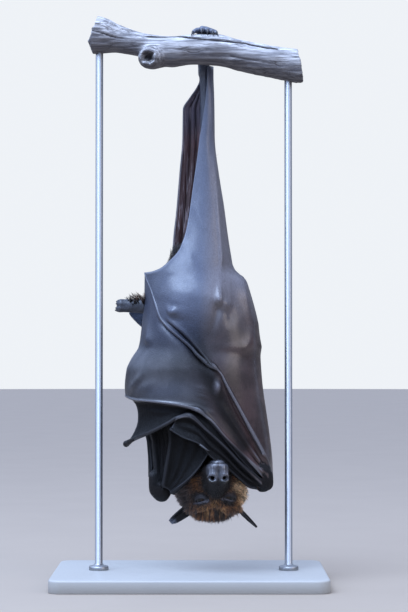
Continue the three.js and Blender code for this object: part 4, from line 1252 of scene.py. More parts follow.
def skin_parts():
    """The closed parts of the skin. Each one made from a field has a box and a cell size."""
    right_shank = limb(ANKLE["right"], KNEE["right"], (4.2, 4.4, 5.2, 5.8, 5.6))
    left_shank = limb(ANKLE["left"], KNEE["left"], (4.2, 4.4, 5.0, 5.6, 5.6))
    right_leg = near_leg(holding_toe, right_shank, KNUCKLES)
    left_leg = near_leg(free_toe, left_shank, FREE_PALM)
    return [
        closed("torso", near_torso, (-48, -38, 104), (60, 46, 396), 3.8),
        head_part(),
        closed("right_leg", right_leg, (-2, -14, 378), (30, 32, 520), 1.05),
        closed("left_leg", left_leg, (-72, -36, 242), (38, 12, 270), 0.85),
        closed("right_arm", near_arm("right"), (34, -34, 76), (82, 26, 290), 2.3),
        closed("left_arm", near_arm("left"), (-44, -34, 68), (-10, 32, 272), 2.3),
        closed("finger_tip", near_finger_tip, (-72, -40, 114), (-42, 8, 142), 1.1),
        ("ear_right", *ear(*EARS["right"])),
        ("ear_left", *ear(*EARS["left"])),
        ("leg_skin", *leg_skin()),
        ("left_wing", *left_wing()),
        ("right_wing", *right_wing()),
    ]


# ---- attributes on meshes


def store(mesh, name, kind, values):
    """Keeps a value for each point of a mesh under a name."""
    layer = mesh.attributes.new(name, kind, "POINT")
    field = {"FLOAT": "value", "FLOAT_COLOR": "color"}.get(kind, "vector")
    layer.data.foreach_set(field, np.asarray(values, np.float32).ravel())


def stored(mesh, name):
    return read_all(mesh.attributes[name].data, "vector", 3)


def nearest_part(skin_points, parts):
    """For each point of the joined skin, the name of the part that it came from."""
    everything = np.vstack([points for _, points, _ in parts])
    names = np.repeat([name for name, _, _ in parts], [len(points) for _, points, _ in parts])
    tree = KDTree(len(everything))
    for i, point in enumerate(everything):
        tree.insert(point, i)
    tree.balance()
    return names[[tree.find(point)[1] for point in skin_points]]


def mark_skin(skin, parts):
    """Stores how much each spot is wing membrane (red), warmer brown (green) or under fur (blue).

    It also stores each spot's sheen, whose low values darken the membrane as painted shade, and how much
    painted light makes it paler."""
    p = places(skin)
    part = nearest_part(p, parts)
    membrane = np.isin(part, ["right_wing", "left_wing", "leg_skin"]).astype(float)
    warm = (part == "leg_skin") * 0.9
    x, z = p[:, 0], p[:, 2]
    band = fold(x, z, [(24, 141.6, 0.6), (42, 128, 0.8), (61, 112, 0.7)], 7)
    right_side = 0.5 * smooth_step(8, 34, x) * smooth_step(420, 330, z) + 0.35 * smooth_step(30, 60, x)
    warm = np.maximum(warm, (part == "right_wing") * np.maximum(band, right_side * 0.6))
    face = 1 - smooth_step(-36, -26, p[:, 1])
    furred = np.maximum(part == "torso", (part == "head") * (1 - 0.85 * face))
    store(skin.data, "finish", "FLOAT_COLOR", np.stack([membrane, warm, furred, np.ones(len(p))], 1))
    store(skin.data, "sheen_and_shade", "FLOAT", sheen_and_painted_shade(p, part))
    store(skin.data, "pale", "FLOAT", painted_light_mask(p, part))


def mark_relief(skin):
    """Stores how hollow (towards 1) or raised (towards 0) each spot is. 0.5 is even."""
    mesh = skin.data
    p = places(skin)
    a, b = read_all(mesh.edges, "vertices", 2, np.int32).T
    normal = read_all(mesh.vertices, "normal", 3)
    run = p[b] - p[a]
    size = np.maximum((run**2).sum(1), 0.05)
    bend = np.bincount(a, (run * normal[a]).sum(1) / size, len(p))
    bend -= np.bincount(b, (run * normal[b]).sum(1) / size, len(p))
    count = np.maximum(np.bincount(a, minlength=len(p)) + np.bincount(b, minlength=len(p)), 1)
    bend = bend / count
    for _ in range(3):
        bend = (np.bincount(a, bend[b], len(p)) + np.bincount(b, bend[a], len(p)) + 2 * bend) / (count + 2)
    # the skin's material paints shade into hollows and highlights onto ridges from this mark
    store(mesh, "hollow", "FLOAT", np.clip(0.5 + 2.4 * bend, 0, 1))


PAINTED_HIGHLIGHT_BUMPS = (  # painted highlights on the bumps of knee, knuckles and wing edge, as for swell
    ((25, 181), 0.8, 2.6, 5), ((24.2, 262), 0.6, 1.6, 5), ((-16, 251), 0.5, 2.4, 2.4),
    ((-24, 178), 0.3, 26, 9),
)
SHADED_LINE = ((2, 232), (12, 203), (30, 165), (48, 128))  # where the right wing turns away from the sky
# these sheens also scale the painted highlight on the ridges of grey skin
PART_SHEEN_AND_SHADE = {  # the parts whose sheen is even
    "ear_right": 0.04, "left_leg": 0.14, "right_leg": 0.6, "right_arm": 0.06, "left_arm": 0.06,
    "finger_tip": 0.06,
}
EAR_TIP = (-17.5, -4, 55.5)


def ear_tip(p):
    """1 at the tip of the left ear."""
    return smooth_step(7, 3, lengths(p - EAR_TIP))


def by_part(part, values, otherwise):
    """For each point, the value that belongs to the part that it came from."""
    found = np.full(len(part), otherwise, float)
    for name, value in values.items():
        found = np.where(part == name, value, found)
    return found


def painted_light_mask(p, part):
    """How much painted light makes the skin paler, most on the upper right wing, the lids and the tip of
    the left ear.
    """
    x, z = p[:, 0], p[:, 2]
    # painted light: paler towards the top of the upper wing and towards -X
    upper = smooth_step(205, 268, z - 0.45 * (x - 10)) * (0.55 + 0.45 * smooth_step(-40, 0, x))
    upper += sum(swell(x, z, *row) for row in PAINTED_HIGHLIGHT_BUMPS)
    near_eye = np.min([lengths(p - eye_middle(side)) for side in (-1, 1)], axis=0)
    # painted light also on the holding foot, most on its top, on the leg's skin higher up, on the left
    # wing's upper edge, at the left ear's tip, on the lids and around the eyes
    return by_part(part, {
        "right_wing": np.clip(upper, 0, 1),
        "right_leg": 0.5 + 0.5 * smooth_step(502, 508, z),
        "leg_skin": 0.55 * smooth_step(395, 455, z),
        "left_wing": smooth_step(222, 240, z),
        "ear_left": ear_tip(p),
        "head": np.maximum(lid_rim_highlight(p), 0.16 * smooth_step(8, 5.5, near_eye)),
    }, 0)


def sheen_and_painted_shade(p, part):
    """How much sheen the skin has: full on the outer right wing, little in its folds and on the left.

    Where it is low, the same mark darkens the membrane as painted shade.
    """
    x, y, z = p.T
    flat = p[:, [0, 2]]
    under = smooth_step(-0.5, 3.5, np.interp(x, *np.transpose(FOURTH)) - z) * (y < 0)
    ridge = np.minimum(to_line(flat, FOURTH)[0], to_line(flat, THIRD)[0])
    shaded = np.exp(-((to_line(flat, SHADED_LINE)[0] / 21) ** 2))
    bright = 1 - 0.92 * shaded - 0.5 * smooth_step(236, 280, z) - swell(x, z, (-30, 230), 0.55, 20, 26)
    bright = bright - under + 0.4 * np.exp(-((ridge / 1.2) ** 2)) * under
    muzzle = smooth_step(-44, -50, y) * smooth_step(94, 99, z)
    return np.clip(by_part(part, {
        "right_wing": bright,
        "left_wing": 0.02 + 0.7 * smooth_step(214, 232, z),
        "ear_left": 0.15 + 0.85 * ear_tip(p),
        "head": 0.06 + 0.5 * muzzle + 0.2 * lid_rim_highlight(p),
        **PART_SHEEN_AND_SHADE,
    }, 0.3), 0, 1)


def soften(skin, middle, reach, rounds):
    """Smooths the skin around one spot, most in its middle."""
    mesh = skin.data
    p = places(skin)
    far = lengths(p - middle)
    edges = read_all(mesh.edges, "vertices", 2, np.int32)
    edges = edges[(far[edges] < reach).all(1)]
    near, place = np.unique(edges, return_inverse=True)
    place = place.reshape(-1, 2)
    spot, share = p[near], 0.6 * smooth_step(reach, reach * 0.5, far[near])[:, None]
    times = np.bincount(place.ravel(), minlength=len(near))[:, None]
    for _ in range(rounds):
        total = np.stack([np.bincount(place[:, 0], spot[place[:, 1], k], len(near))
                          + np.bincount(place[:, 1], spot[place[:, 0], k], len(near)) for k in range(3)], 1)
        spot = spot + share * (total / times - spot)
    p[near] = spot
    mesh.vertices.foreach_set("co", (p * MM).astype(np.float32).ravel())
    mesh.update()


# ---- markings and relief

GOLD = (0.42, 0.215, 0.085)
AMBER = (0.22, 0.095, 0.036)
CHESTNUT = (0.06, 0.028, 0.015)
# painted highlight colour of lit hair
LIT_HAIR_HIGHLIGHT = (0.7, 0.5, 0.3)
UMBER = (0.075, 0.055, 0.05)
SOOT = (0.018, 0.014, 0.013)
# Spots of the coat in the order of laying: colour, middle and half sizes, softness, strength.
COAT_SPOTS = (
    (CHESTNUT, (19, 6, 84), (44, 34, 40), 0.35, 1.0),
    (AMBER, (22, -12, 65), (22, 26, 9), 0.5, 1.0),
    # gold of the cheeks is the coat's own colour; it is laid at full strength on the right and at a quarter
    # on the left, and that difference is a painted highlight
    (GOLD, (-6.5, -14, 83), (10, 18, 13), 0.5, 0.25),
    (GOLD, (15, -22, 68), (4, 12, 7), 0.6, 1.0),
    (GOLD, (47.5, -14, 83), (10, 18, 13), 0.5, 1.0),
    (GOLD, (29, -22, 68), (4, 12, 7), 0.6, 1.0),
    (GOLD, (23.2, -32, 77), (3.2, 8, 4.6), 0.6, 1.0),
    # painted highlight: lit straw-coloured hair on the right cheek
    (LIT_HAIR_HIGHLIGHT, (52, -8, 80), (7, 16, 13), 0.6, 1.0),
    (LIT_HAIR_HIGHLIGHT, (43, -20, 91), (6, 14, 6), 0.7, 1.0),
    (UMBER, (-4, -10, 84), (13, 20, 18), 0.5, 1.0),
)
CROWN_SPOT = ((21, -12, 60), (34, 24, 14), 0.4)
PARTING_SPOT = ((23, -20, 66), (1.4, 12, 8), 0.8)
ANKLE_SPOT = ((-46, -3, 270), (10, 12, 12), 0.5)
FACE_SPOTS = (  # muzzle, throat and both eyes
    ((24, -44, 95), (17, 22, 19), 0.25),
    ((22, -34, 120), (40, 26, 20), 0.3),
    ((10.6, -28, 80), (9, 14, 6.5), 0.35),
    ((35.8, -28, 80), (9, 14, 6.5), 0.35),
)
WOBBLE = 0.009  # how far the borders of the markings wander, in metres


def coat_markings():
    """The colours of coat and hide: golden crown and cheeks, dark face, amber mantle and sooty back, and a
    painted highlight of lit hair on the right cheek.
    """
    tree, nodes, _, out = shader_group("bat_markings", [], [("Colour", "Color")])
    place = nodes.here()
    speckle = nodes.add("ShaderNodeTexNoise", Vector=place, Scale=90.0, Detail=3.0).outputs["Color"]
    moved = nodes.vector("MULTIPLY_ADD", speckle, (WOBBLE,) * 3, place)
    at = nodes.vector("SUBTRACT", moved, (WOBBLE / 2,) * 3)
    height = nodes.add("ShaderNodeSeparateXYZ", Vector=at).outputs[2]
    colour = nodes.mix(nodes.span(height, 0.128, 0.168), AMBER, SOOT)
    for tint, middle, size, soft, strength in COAT_SPOTS:
        share = nodes.spot(at, middle, size, soft)
        colour = nodes.mix(share if strength == 1 else nodes.times(share, strength), colour, tint)
    streak = nodes.span(nodes.noise(nodes.stretched((1, 0.08, 0.08)), 330.0, 2.0), 0.46, 0.56)
    crown = nodes.times(nodes.spot(at, *CROWN_SPOT), nodes.span(streak, 0, 1, 0.15, 0.85))
    colour = nodes.mix(nodes.math("MAXIMUM", crown, nodes.spot(at, *PARTING_SPOT)), colour, SOOT)
    colour = nodes.mix(nodes.spot(at, *ANKLE_SPOT), colour, CHESTNUT)
    face = nodes.spot(at, *FACE_SPOTS[0])
    for row in FACE_SPOTS[1:]:
        face = nodes.math("MAXIMUM", face, nodes.spot(at, *row))
    nodes.feed(out.inputs["Colour"], nodes.mix(face, colour, SOOT))
    return tree


def leather_relief():
    """Fine relief of bare skin: small cells, creases drawn out along the limbs, and pores."""
    inputs = [("Scale", "Float", 1.0), ("Creases", "Float", 1.0)]
    tree, nodes, given, out = shader_group("leather_relief", inputs, [("Height", "Float")])
    sized = nodes.add("ShaderNodeVectorMath", {"operation": "SCALE"})
    nodes.feed(sized.inputs[0], nodes.here())
    nodes.feed(sized.inputs["Scale"], given.outputs["Scale"])
    place = sized.outputs[0]
    cells = nodes.span(nodes.cracks(place, 620.0), 0.0, 0.22)
    pores = nodes.noise(place, 1900.0, 4.0, 0.6)
    drawn = nodes.add("ShaderNodeMapping", Vector=place, Scale=(1.0, 1.0, 0.16)).outputs[0]
    height = nodes.times(nodes.noise(drawn, 520.0, 4.0, 0.55, 0.6), given.outputs["Creases"])
    height = nodes.math("ADD", height, nodes.times(cells, 0.22))
    height = nodes.math("ADD", height, nodes.times(pores, 0.18))
    nodes.feed(out.inputs["Height"], height)
    return tree


# ---- skin and fur materials

TAR = (0.007, 0.0062, 0.007)
FACE_GREY = (0.03, 0.031, 0.037)
BARE_SKIN = (0.05, 0.053, 0.065)
# painted shade in the hollows of bare skin and painted highlight on its ridges
BARE_CREASE_SHADE, BARE_RIDGE_HIGHLIGHT = (0.008, 0.007, 0.008), (0.09, 0.095, 0.115)
MEMBRANE_DARK, MEMBRANE_LIGHT = (0.006, 0.0052, 0.0065), (0.018, 0.0155, 0.018)
MEMBRANE_WARM = (0.07, 0.03, 0.026)
# painted shade: the membrane's colour where it has little sheen
MEMBRANE_SHADED = (0.0025, 0.0025, 0.003)
# painted shade in the membrane's hollows and painted highlight on its ridges
MEMBRANE_CREASE_SHADE, MEMBRANE_RIDGE_HIGHLIGHT = (0.004, 0.0035, 0.0035), (0.13, 0.13, 0.15)
MEMBRANE_STRANDS = (0.2, 0.16, 0.17)
# painted light: bluish towards -X and greyer towards +X
PAINTED_SKY_BLUE, PAINTED_LIGHT_GREY = (0.075, 0.088, 0.13), (0.13, 0.12, 0.135)
NOSE_SPOT = ((26, -57, 108), (14, 14, 10.5), 0.12)


def bare_colour(nodes, sunk, raised):
    """Bare skin: tar black, and grey on the nose and the feet, with painted shade in hollows and a painted
    highlight on ridges of the grey skin.
    """
    height = nodes.add("ShaderNodeSeparateXYZ", Vector=nodes.here()).outputs[2]
    grey = nodes.math("MAXIMUM", nodes.spot(nodes.here(), *NOSE_SPOT), nodes.span(height, 0.2, 0.23))
    mottle = nodes.span(nodes.noise(nodes.here(), 260.0, 4.0, 0.6), 0.3, 0.75)
    colour = nodes.mix(grey, TAR, nodes.mix(mottle, BARE_SKIN, FACE_GREY))
    # painted shade in hollows
    colour = nodes.mix(nodes.times(sunk, 0.85), colour, BARE_CREASE_SHADE)
    # painted highlight on ridges of the grey skin
    return nodes.mix(nodes.times(raised, grey), colour, BARE_RIDGE_HIGHLIGHT), mottle


def membrane_colour(nodes, cloud, warm, sheen_and_shade, sunk, raised):
    """Wing skin: clouded black, warmer brown where the 'finish' mark says, and strands.

    It is darkened as painted shade where it has little sheen and in its hollows, and has a painted
    highlight on its ridges.
    """
    colour = nodes.mix(cloud, MEMBRANE_DARK, MEMBRANE_LIGHT)
    colour = nodes.mix(nodes.times(warm, nodes.span(cloud, 0, 1, 0.55, 1.0)), colour, MEMBRANE_WARM)
    # painted shade: the membrane darkened where it has little sheen, in its folds and on the lower left
    # wing
    colour = nodes.mix(nodes.span(sheen_and_shade, 0.02, 0.3), MEMBRANE_SHADED, colour)
    # painted shade in hollows
    colour = nodes.mix(nodes.times(sunk, 0.85), colour, MEMBRANE_CREASE_SHADE)
    # painted highlight on ridges
    colour = nodes.mix(nodes.times(raised, 0.75), colour, MEMBRANE_RIDGE_HIGHLIGHT)
    strands = nodes.span(nodes.noise(nodes.stretched((1, 1, 0.03)), 620.0, 2.0), 0.54, 0.64)
    return nodes.mix(nodes.times(strands, nodes.span(warm, 0.75, 0.9, 0, 0.5)), colour, MEMBRANE_STRANDS)


def painted_light_colour(nodes, sunk, colour):
    """Skin made paler by painted light where its 'pale' attribute says so, bluer towards -X, and less so in
    hollows.
    """
    aside, _, height = nodes.add("ShaderNodeSeparateXYZ", Vector=nodes.here()).outputs
    lean = nodes.math("ADD", aside, nodes.times(height, -0.04))
    # painted light: bluish towards -X and greyer towards +X
    light = nodes.mix(nodes.span(lean, -0.004, 0.012), PAINTED_SKY_BLUE, PAINTED_LIGHT_GREY)
    grain = nodes.span(nodes.noise(nodes.here(), 900.0, 3.0, 0.6), 0.3, 0.7, 0.7, 1.0)
    # less painted light in hollows
    pale = nodes.times(nodes.times(nodes.mark("pale"), grain), nodes.span(sunk, 0, 1, 1, 0.3))
    return nodes.mix(pale, colour, light)


def skin_material(markings, leather):
    """Wing membrane, bare skin of feet, muzzle and ears, and the hide under the fur, in one finish.

    It has painted shade in hollows and folds, painted highlights on ridges and painted light on lit parts.
    """
    constants = {"Specular_IOR_Level": 0.12, "Coat_Roughness": 0.28, "Coat_IOR": 1.65}
    material, nodes, shader = blank_material("bat_skin", **constants)
    finish = nodes.add("ShaderNodeSeparateColor", Color=nodes.mark("finish", "Color"))
    membrane, warm, furred = finish.outputs
    sheen_and_shade, hollow = nodes.mark("sheen_and_shade"), nodes.mark("hollow")
    cloud = nodes.span(nodes.noise(nodes.here(), 38.0, 5.0, 0.6, 0.4), 0.35, 0.68)
    # how deep a spot lies in a hollow, for painted shade there
    sunk = nodes.span(hollow, 0.54, 0.8)
    # how much a ridge stands out, for a painted highlight, stronger where the skin has sheen
    raised = nodes.times(nodes.span(hollow, 0.46, 0.2), nodes.span(sheen_and_shade, 0, 0.5, 0.15, 1))
    bare, mottle = bare_colour(nodes, sunk, raised)
    hide = nodes.mix(0.5, nodes.group(markings).outputs["Colour"], SOOT)
    wing = membrane_colour(nodes, cloud, warm, sheen_and_shade, sunk, raised)
    colour = nodes.mix(membrane, nodes.mix(furred, bare, hide), wing)
    base_colour(nodes, shader, painted_light_colour(nodes, sunk, colour))
    rough = nodes.math("ADD", nodes.span(mottle, 0, 1, 0.42, 0.56), nodes.times(furred, 0.3), True)
    nodes.feed(shader.inputs["Roughness"], rough)
    sheen_and_shade = nodes.math("ADD", sheen_and_shade, nodes.times(raised, 0.6), True)
    sheen_and_shade = nodes.times(sheen_and_shade, nodes.span(sunk, 0, 1, 1, 0.1))
    nodes.feed(shader.inputs["Coat Weight"], nodes.times(sheen_and_shade, nodes.span(cloud, 0, 1, 0.75, 1.0)))
    fine = nodes.group(leather, Scale=1.0, Creases=1.0).outputs["Height"]
    add_bump(nodes, shader, fine, 0.0007, 0.8)
    return material


def coat_material(markings):
    """Fur: the markings of the hide, darker at the roots, with lighter and darker tufts."""
    material, nodes, shader = blank_material("fur", Roughness=0.42, Specular_IOR_Level=0.5)
    depth = nodes.span(nodes.mark("along"), 0.1, 0.95, 0.16, 1.5)
    depth = nodes.times(depth, nodes.span(nodes.mark("tone"), 0, 1, 0.28, 1.8))
    shade = nodes.add("ShaderNodeCombineColor", Red=depth, Green=depth, Blue=depth).outputs[0]
    colour = nodes.group(markings).outputs["Colour"]
    base_colour(nodes, shader, nodes.mix(1.0, colour, shade, "MULTIPLY"))
    return material


# ---- coat


SIDES_OF_LOCK = ((0, 2), (2, 1), (1, 0))


def lock_points(root, turn, length, rise, width, share):
    """One lock, curving up from its root and over: three points at each share of it, then its tip."""
    ahead = np.array([math.cos(turn), math.sin(turn), 0])
    beside = np.array([-math.sin(turn), math.cos(turn), 0])
    points = []
    for s in (*share, 1.0):
        sway = 0.05 * math.sin(3 * s + turn * 9)
        middle = np.array([*root, -0.05]) + ahead * (length * s) + beside * sway
        middle[2] += rise * math.sin(1.9 * s) * length
        thick = width * (1 - 0.55 * s)
        half = beside * thick / 2
        points += [middle + half, middle - half, middle + (0, 0, thick * 0.5)]
    return [*points[:-3], middle]


def lock_faces(start, rings):
    """The faces of a lock whose first point has the number start."""
    faces = []
    last = start + 3 * rings - 3
    for ring in range(start, last, 3):
        for a, b in SIDES_OF_LOCK:
            faces += [(ring + a, ring + a + 3, ring + b + 3), (ring + a, ring + b + 3, ring + b)]
    faces += [(last + a, last + 3, last + b) for a, b in SIDES_OF_LOCK]
    return [*faces, (start, start + 2, start + 1)]


def tuft(name, locks, width, lift, share, seed):
    """A tuft one unit long, lying towards +X, of locks with rings at the given shares of their length."""
    draw = np.random.default_rng(seed)
    points, faces = [], []
    for _ in range(locks):
        root, turn = draw.uniform(-0.14, 0.14, 2), draw.uniform(-0.3, 0.3)
        length, rise = draw.uniform(0.62, 1.05), lift * draw.uniform(0.6, 1.4)
        faces += lock_faces(len(points), len(share))
        points += lock_points(root, turn, length, rise, width, share)
    points, faces = np.array(points), np.array(faces)
    if (points[faces].mean(1) * face_normals(points, faces)).sum() < 0:
        faces = faces[:, ::-1]
    made = mesh_object(name, points / MM, faces)
    along = np.tile([*np.repeat(share, 3), 1.0], locks)
    store(made.data, "along", "FLOAT", along)
    patch = np.column_stack([points[:, 0] - 0.5, points[:, 1], along])
    store(made.data, "patch", "FLOAT_VECTOR", patch)
    bpy.context.scene.collection.objects.unlink(made)
    return made


def socket_of(sockets, name):
    return next(s for s in sockets if s.name == name and s.enabled)


def random_value(nodes, low, high, seed):
    """A number of its own for each tuft. The node takes plain numbers in its third and fourth sockets."""
    node = nodes.add("FunctionNodeRandomValue", {"data_type": "FLOAT"})
    nodes.feed(node.inputs[2], low)
    nodes.feed(node.inputs[3], high)
    nodes.feed(node.inputs["Seed"], seed)
    return node.outputs[1]


def read_attribute(nodes, name, kind):
    return nodes.add("GeometryNodeInputNamedAttribute", {"data_type": kind}, Name=name).outputs[0]


def keep_at_points(nodes, geometry, name, kind, value):
    """Stores a value at each point, so that the tufts that grow there carry it."""
    node = nodes.add("GeometryNodeStoreNamedAttribute", {"data_type": kind, "domain": "POINT"},
                     Geometry=geometry, Name=name)
    nodes.feed(socket_of(node.inputs, "Value"), value)
    return node


def tuft_turn(nodes, normal):
    """The rotation of a tuft: along the lie of the fur and raised from it, with a little roll and sway."""
    lie = read_attribute(nodes, "lie", "FLOAT_VECTOR")
    axes = {"primary_axis": "Z", "secondary_axis": "X"}
    facing = nodes.wired("FunctionNodeAxesToRotation", axes, normal, lie)
    lift = nodes.times(read_attribute(nodes, "lift", "FLOAT"), random_value(nodes, -1.5, -0.5, 11))
    roll, sway = random_value(nodes, -0.5, 0.5, 12), random_value(nodes, -0.42, 0.42, 13)
    turns = nodes.add("ShaderNodeCombineXYZ", X=roll, Y=lift, Z=sway)
    euler = nodes.wired("FunctionNodeEulerToRotation", {}, turns)
    return nodes.wired("FunctionNodeRotateRotation", {"rotation_space": "LOCAL"}, facing, euler)


TUFT_SOCKETS = {
    "Surface": "Geometry", "Tuft": "Object", "Density": "Float", "Seed": "Int", "Fur": "Material",
}


def tuft_layer():
    """Geometry nodes: tufts over a surface that carries cover, length, lift and lie."""
    tree = bpy.data.node_groups.new("tuft_layer", "GeometryNodeTree")
    for name, kind in TUFT_SOCKETS.items():
        tree.interface.new_socket(name, in_out="INPUT", socket_type="NodeSocket" + kind)
    tree.interface.new_socket("Coat", in_out="OUTPUT", socket_type="NodeSocketGeometry")
    nodes = Nodes(tree)
    given = nodes.add("NodeGroupInput").outputs
    density = nodes.times(given["Density"], read_attribute(nodes, "cover", "FLOAT"))
    spots = nodes.add("GeometryNodeDistributePointsOnFaces", Mesh=given["Surface"], Density=density)
    nodes.feed(spots.inputs["Seed"], given["Seed"])
    place = nodes.add("GeometryNodeInputPosition")
    points = keep_at_points(nodes, spots.outputs["Points"], "root", "FLOAT_VECTOR", place)
    points = keep_at_points(nodes, points, "tone", "FLOAT", random_value(nodes, 0.0, 1.0, 7))
    turned = tuft_turn(nodes, spots.outputs["Normal"])
    size = nodes.times(read_attribute(nodes, "length", "FLOAT"), random_value(nodes, 0.7, 1.2, 14))
    shape = nodes.add("GeometryNodeObjectInfo", Object=given["Tuft"]).outputs["Geometry"]
    placed = nodes.add("GeometryNodeInstanceOnPoints", Points=points, Instance=shape, Rotation=turned,
                       Scale=size)
    solid = nodes.add("GeometryNodeRealizeInstances", Geometry=placed)
    finished = nodes.add("GeometryNodeSetMaterial", Geometry=solid, Material=given["Fur"])
    nodes.feed(nodes.add("NodeGroupOutput").inputs[0], finished)
    return tree


def set_input(modifier, name, value):
    found = next(item for item in modifier.node_group.interface.items_tree if item.name == name)
    modifier[found.identifier] = value


WORKING_MARKS = ("root", "patch", "cover", "length", "lift", "lie")


def lay_coat(name, base, tree, shape, locks, material, seed, unwrap):
    """One piece of the coat. Its base is (points, faces, cover, length, lift, lie), in millimetres."""
    points, faces, cover, length, lift, lie = base
    used = cover[faces].max(1) > 0.01
    faces = faces[used]
    surface = mesh_object(name, points, faces)
    for key, values in (("cover", cover), ("length", length * MM), ("lift", lift)):
        store(surface.data, key, "FLOAT", values)
    store(surface.data, "lie", "FLOAT_VECTOR", lie)
    area = (lengths(face_normals(points, faces)) / 2 * cover[faces].mean(1)).sum() * MM * MM
    layer = surface.modifiers.new("tufts", "NODES")
    layer.node_group = tree
    for key, value in (("Tuft", shape), ("Density", locks / area), ("Seed", seed), ("Fur", material)):
        set_input(layer, key, value)
    apply_modifiers(surface)
    mesh = surface.data
    add_bake_map(mesh, unwrap)
    for key in [a.name for a in mesh.attributes if a.name in WORKING_MARKS]:
        mesh.attributes.remove(mesh.attributes[key])
    return surface


def add_bake_map(mesh, unwrap):
    """Maps each tuft as a small patch at the place of its root on the unwrapped ground."""
    at = unwrap(stored(mesh, "root") / MM)
    low, high = at.min(0), at.max(0)
    at = 0.01 + 0.98 * (at - low) / (high - low) + stored(mesh, "patch")[:, :2] * 0.003
    corner = read_all(mesh.loops, "vertex_index", 1, np.int32)[:, 0]
    layer = mesh.uv_layers.new(name="OFBake")
    layer.uv.foreach_set("vector", np.clip(at[corner], 0, 1).astype(np.float32).ravel())


def along_surface(direction, normal):
    """A direction laid flat on a surface."""
    return unit(direction - normal * (direction * normal).sum(1)[:, None])


NOSE = np.array([25.0, -50, 101.0])
HEAD_REGIONS = ("crown", "cheek_right", "cheek_left", "face", "throat", "nape")
BODY_REGIONS = ("mantle", "back", "thighs")
TUFTS = {  # how many tufts each piece of the coat has
    "crown": 1720, "cheek_right": 1500, "cheek_left": 1500, "face": 2400, "throat": 1500, "nape": 800,
    "mantle": 1720, "back": 1720, "thighs": 400, "ankle": 90,
}


def head_regions(points):
    """How far each point of the head belongs to each piece of its coat. A point's shares add up to one."""
    x, y, z = points.T
    nape = smooth_step(8, 16, y)
    throat = smooth_step(96, 104, z) * (1 - nape)
    side = (1 - nape) * (1 - throat)
    behind = smooth_step(-24, -18, y)
    crown = smooth_step(80, 70, z)
    right = smooth_step(18, 24, x)
    return {"face": side * (1 - behind), "crown": side * behind * crown, "throat": throat, "nape": nape,
            "cheek_right": side * behind * (1 - crown) * right,
            "cheek_left": side * behind * (1 - crown) * (1 - right)}


def head_coat(part, region):
    """The ground of one piece of the coat on the head. It lies back from the nose, and up on the nape."""
    _, points, faces = part
    normal = point_normals(points, faces)
    y, z = points.T[1:]
    up_neck = smooth_step(-6, 26, y)[:, None] * np.array([0, 0, 1.6])
    lie = along_surface(unit(points - NOSE) + up_neck, normal)
    reach = lengths((points - NOSE) / np.array([1, 0.8, 1]))
    length = np.interp(reach, [8, 16, 26, 38, 52], [0.9, 1.5, 3.4, 7.0, 9.4])
    lift = np.interp(reach, [8, 20, 34, 46, 60], [0.06, 0.1, 0.26, 0.34, 0.26])
    lift = lift + 0.12 * smooth_step(70, 84, z) * smooth_step(-22, -10, y)
    cover = smooth_step(10, 16, reach + 8 * smooth_step(98, 93, z))
    for side in (-1, 1):
        eye = lengths((points - eye_middle(side)) / np.array([1.15, 1.4, 0.8]))
        cover *= smooth_step(4.6, 6.8, eye)
        length = np.where(eye < 14, np.minimum(length, 1.1 + 0.32 * np.maximum(eye - 5, 0)), length)
    return points, faces, cover * head_regions(points)[region], length, lift, lie


def torso_coat(part, region):
    """The ground of one piece of the coat on the trunk, which lies towards the legs."""
    _, points, faces = part
    normal = point_normals(points, faces)
    x, y, z = points.T
    lie = along_surface(np.stack([0.12 * np.sign(x - 10), 0 * y, 1 + 0 * z], 1), normal)
    turn = np.degrees(np.arctan2(x - 8, -(y - 6)))
    behind = smooth_step(84, 104, np.abs(turn))
    front = (1 - behind) * (1 - smooth_step(122, 134, z))
    mantle = 1 - smooth_step(150, 162, z)
    elbow = smooth_step(34, 40, x) * smooth_step(250, 262, z)
    rump = smooth_step(284, 296, z) * (1 - smooth_step(320, 330, z)) * (1 - behind) * smooth_step(26, 12, x)
    share = {
        "mantle": mantle * np.maximum(behind, front),
        "thighs": smooth_step(316, 322, z) * smooth_step(26, 12, x),
        "back": (1 - mantle) * behind * (1 - smooth_step(318, 326, z)) * (1 - elbow) + rump,
    }
    return points, faces, share[region], np.full(len(x), 10.0), np.full(len(x), 0.2), lie


def ankle_coat(part):
    """The ground of the tuft of hair over the free ankle."""
    _, points, faces = part
    normal = point_normals(points, faces)
    lie = along_surface(np.tile((-0.75, -0.1, 0.8), (len(points), 1)), normal)
    over = smooth_step(-60, -52, points[:, 0]) * (1 - smooth_step(-40, -34, points[:, 0]))
    over *= smooth_step(-0.1, 0.4, normal[:, 2])
    length = np.interp(points[:, 0], [-60, -50, -42], [3, 7.5, 10])
    return points, faces, over, length, np.full(len(points), 0.75), lie


def head_unwrap(root):
    angle = np.arctan2(root[:, 0] - 20, 86 - root[:, 2]) / (2 * np.pi)
    return np.stack([angle % 1, root[:, 1]], 1)


def body_unwrap(root):
    angle = np.arctan2(root[:, 0] - 10, -(root[:, 1] - 8)) / (2 * np.pi)
    return np.stack([angle % 1, root[:, 2]], 1)


def make_coat(parts, material):
    """The coat in its pieces, on the parts of the skin that carry fur."""
    found = {name: (name, points, np.asarray(faces)) for name, points, faces in parts}
    tree = tuft_layer()
    long = tuft("long_tuft", 7, 0.036, 0.11, (0.0, 0.4, 0.75), 3)
    short = tuft("short_tuft", 8, 0.07, 0.1, (0.0, 0.55), 5)
    head = [(region, head_coat(found["head"], region), head_unwrap) for region in HEAD_REGIONS]
    body = [(region, torso_coat(found["torso"], region), body_unwrap) for region in BODY_REGIONS]
    grounds = [*head, *body, ("ankle", ankle_coat(found["left_leg"]), body_unwrap)]
    coats = []
    for n, (region, base, unwrap) in enumerate(grounds):
        shape = short if region in ("face", "throat") else long
        name, seed = "coat_" + region, 21 + n
        coats.append(lay_coat(name, base, tree, shape, TUFTS[region], material, seed, unwrap))
    return coats


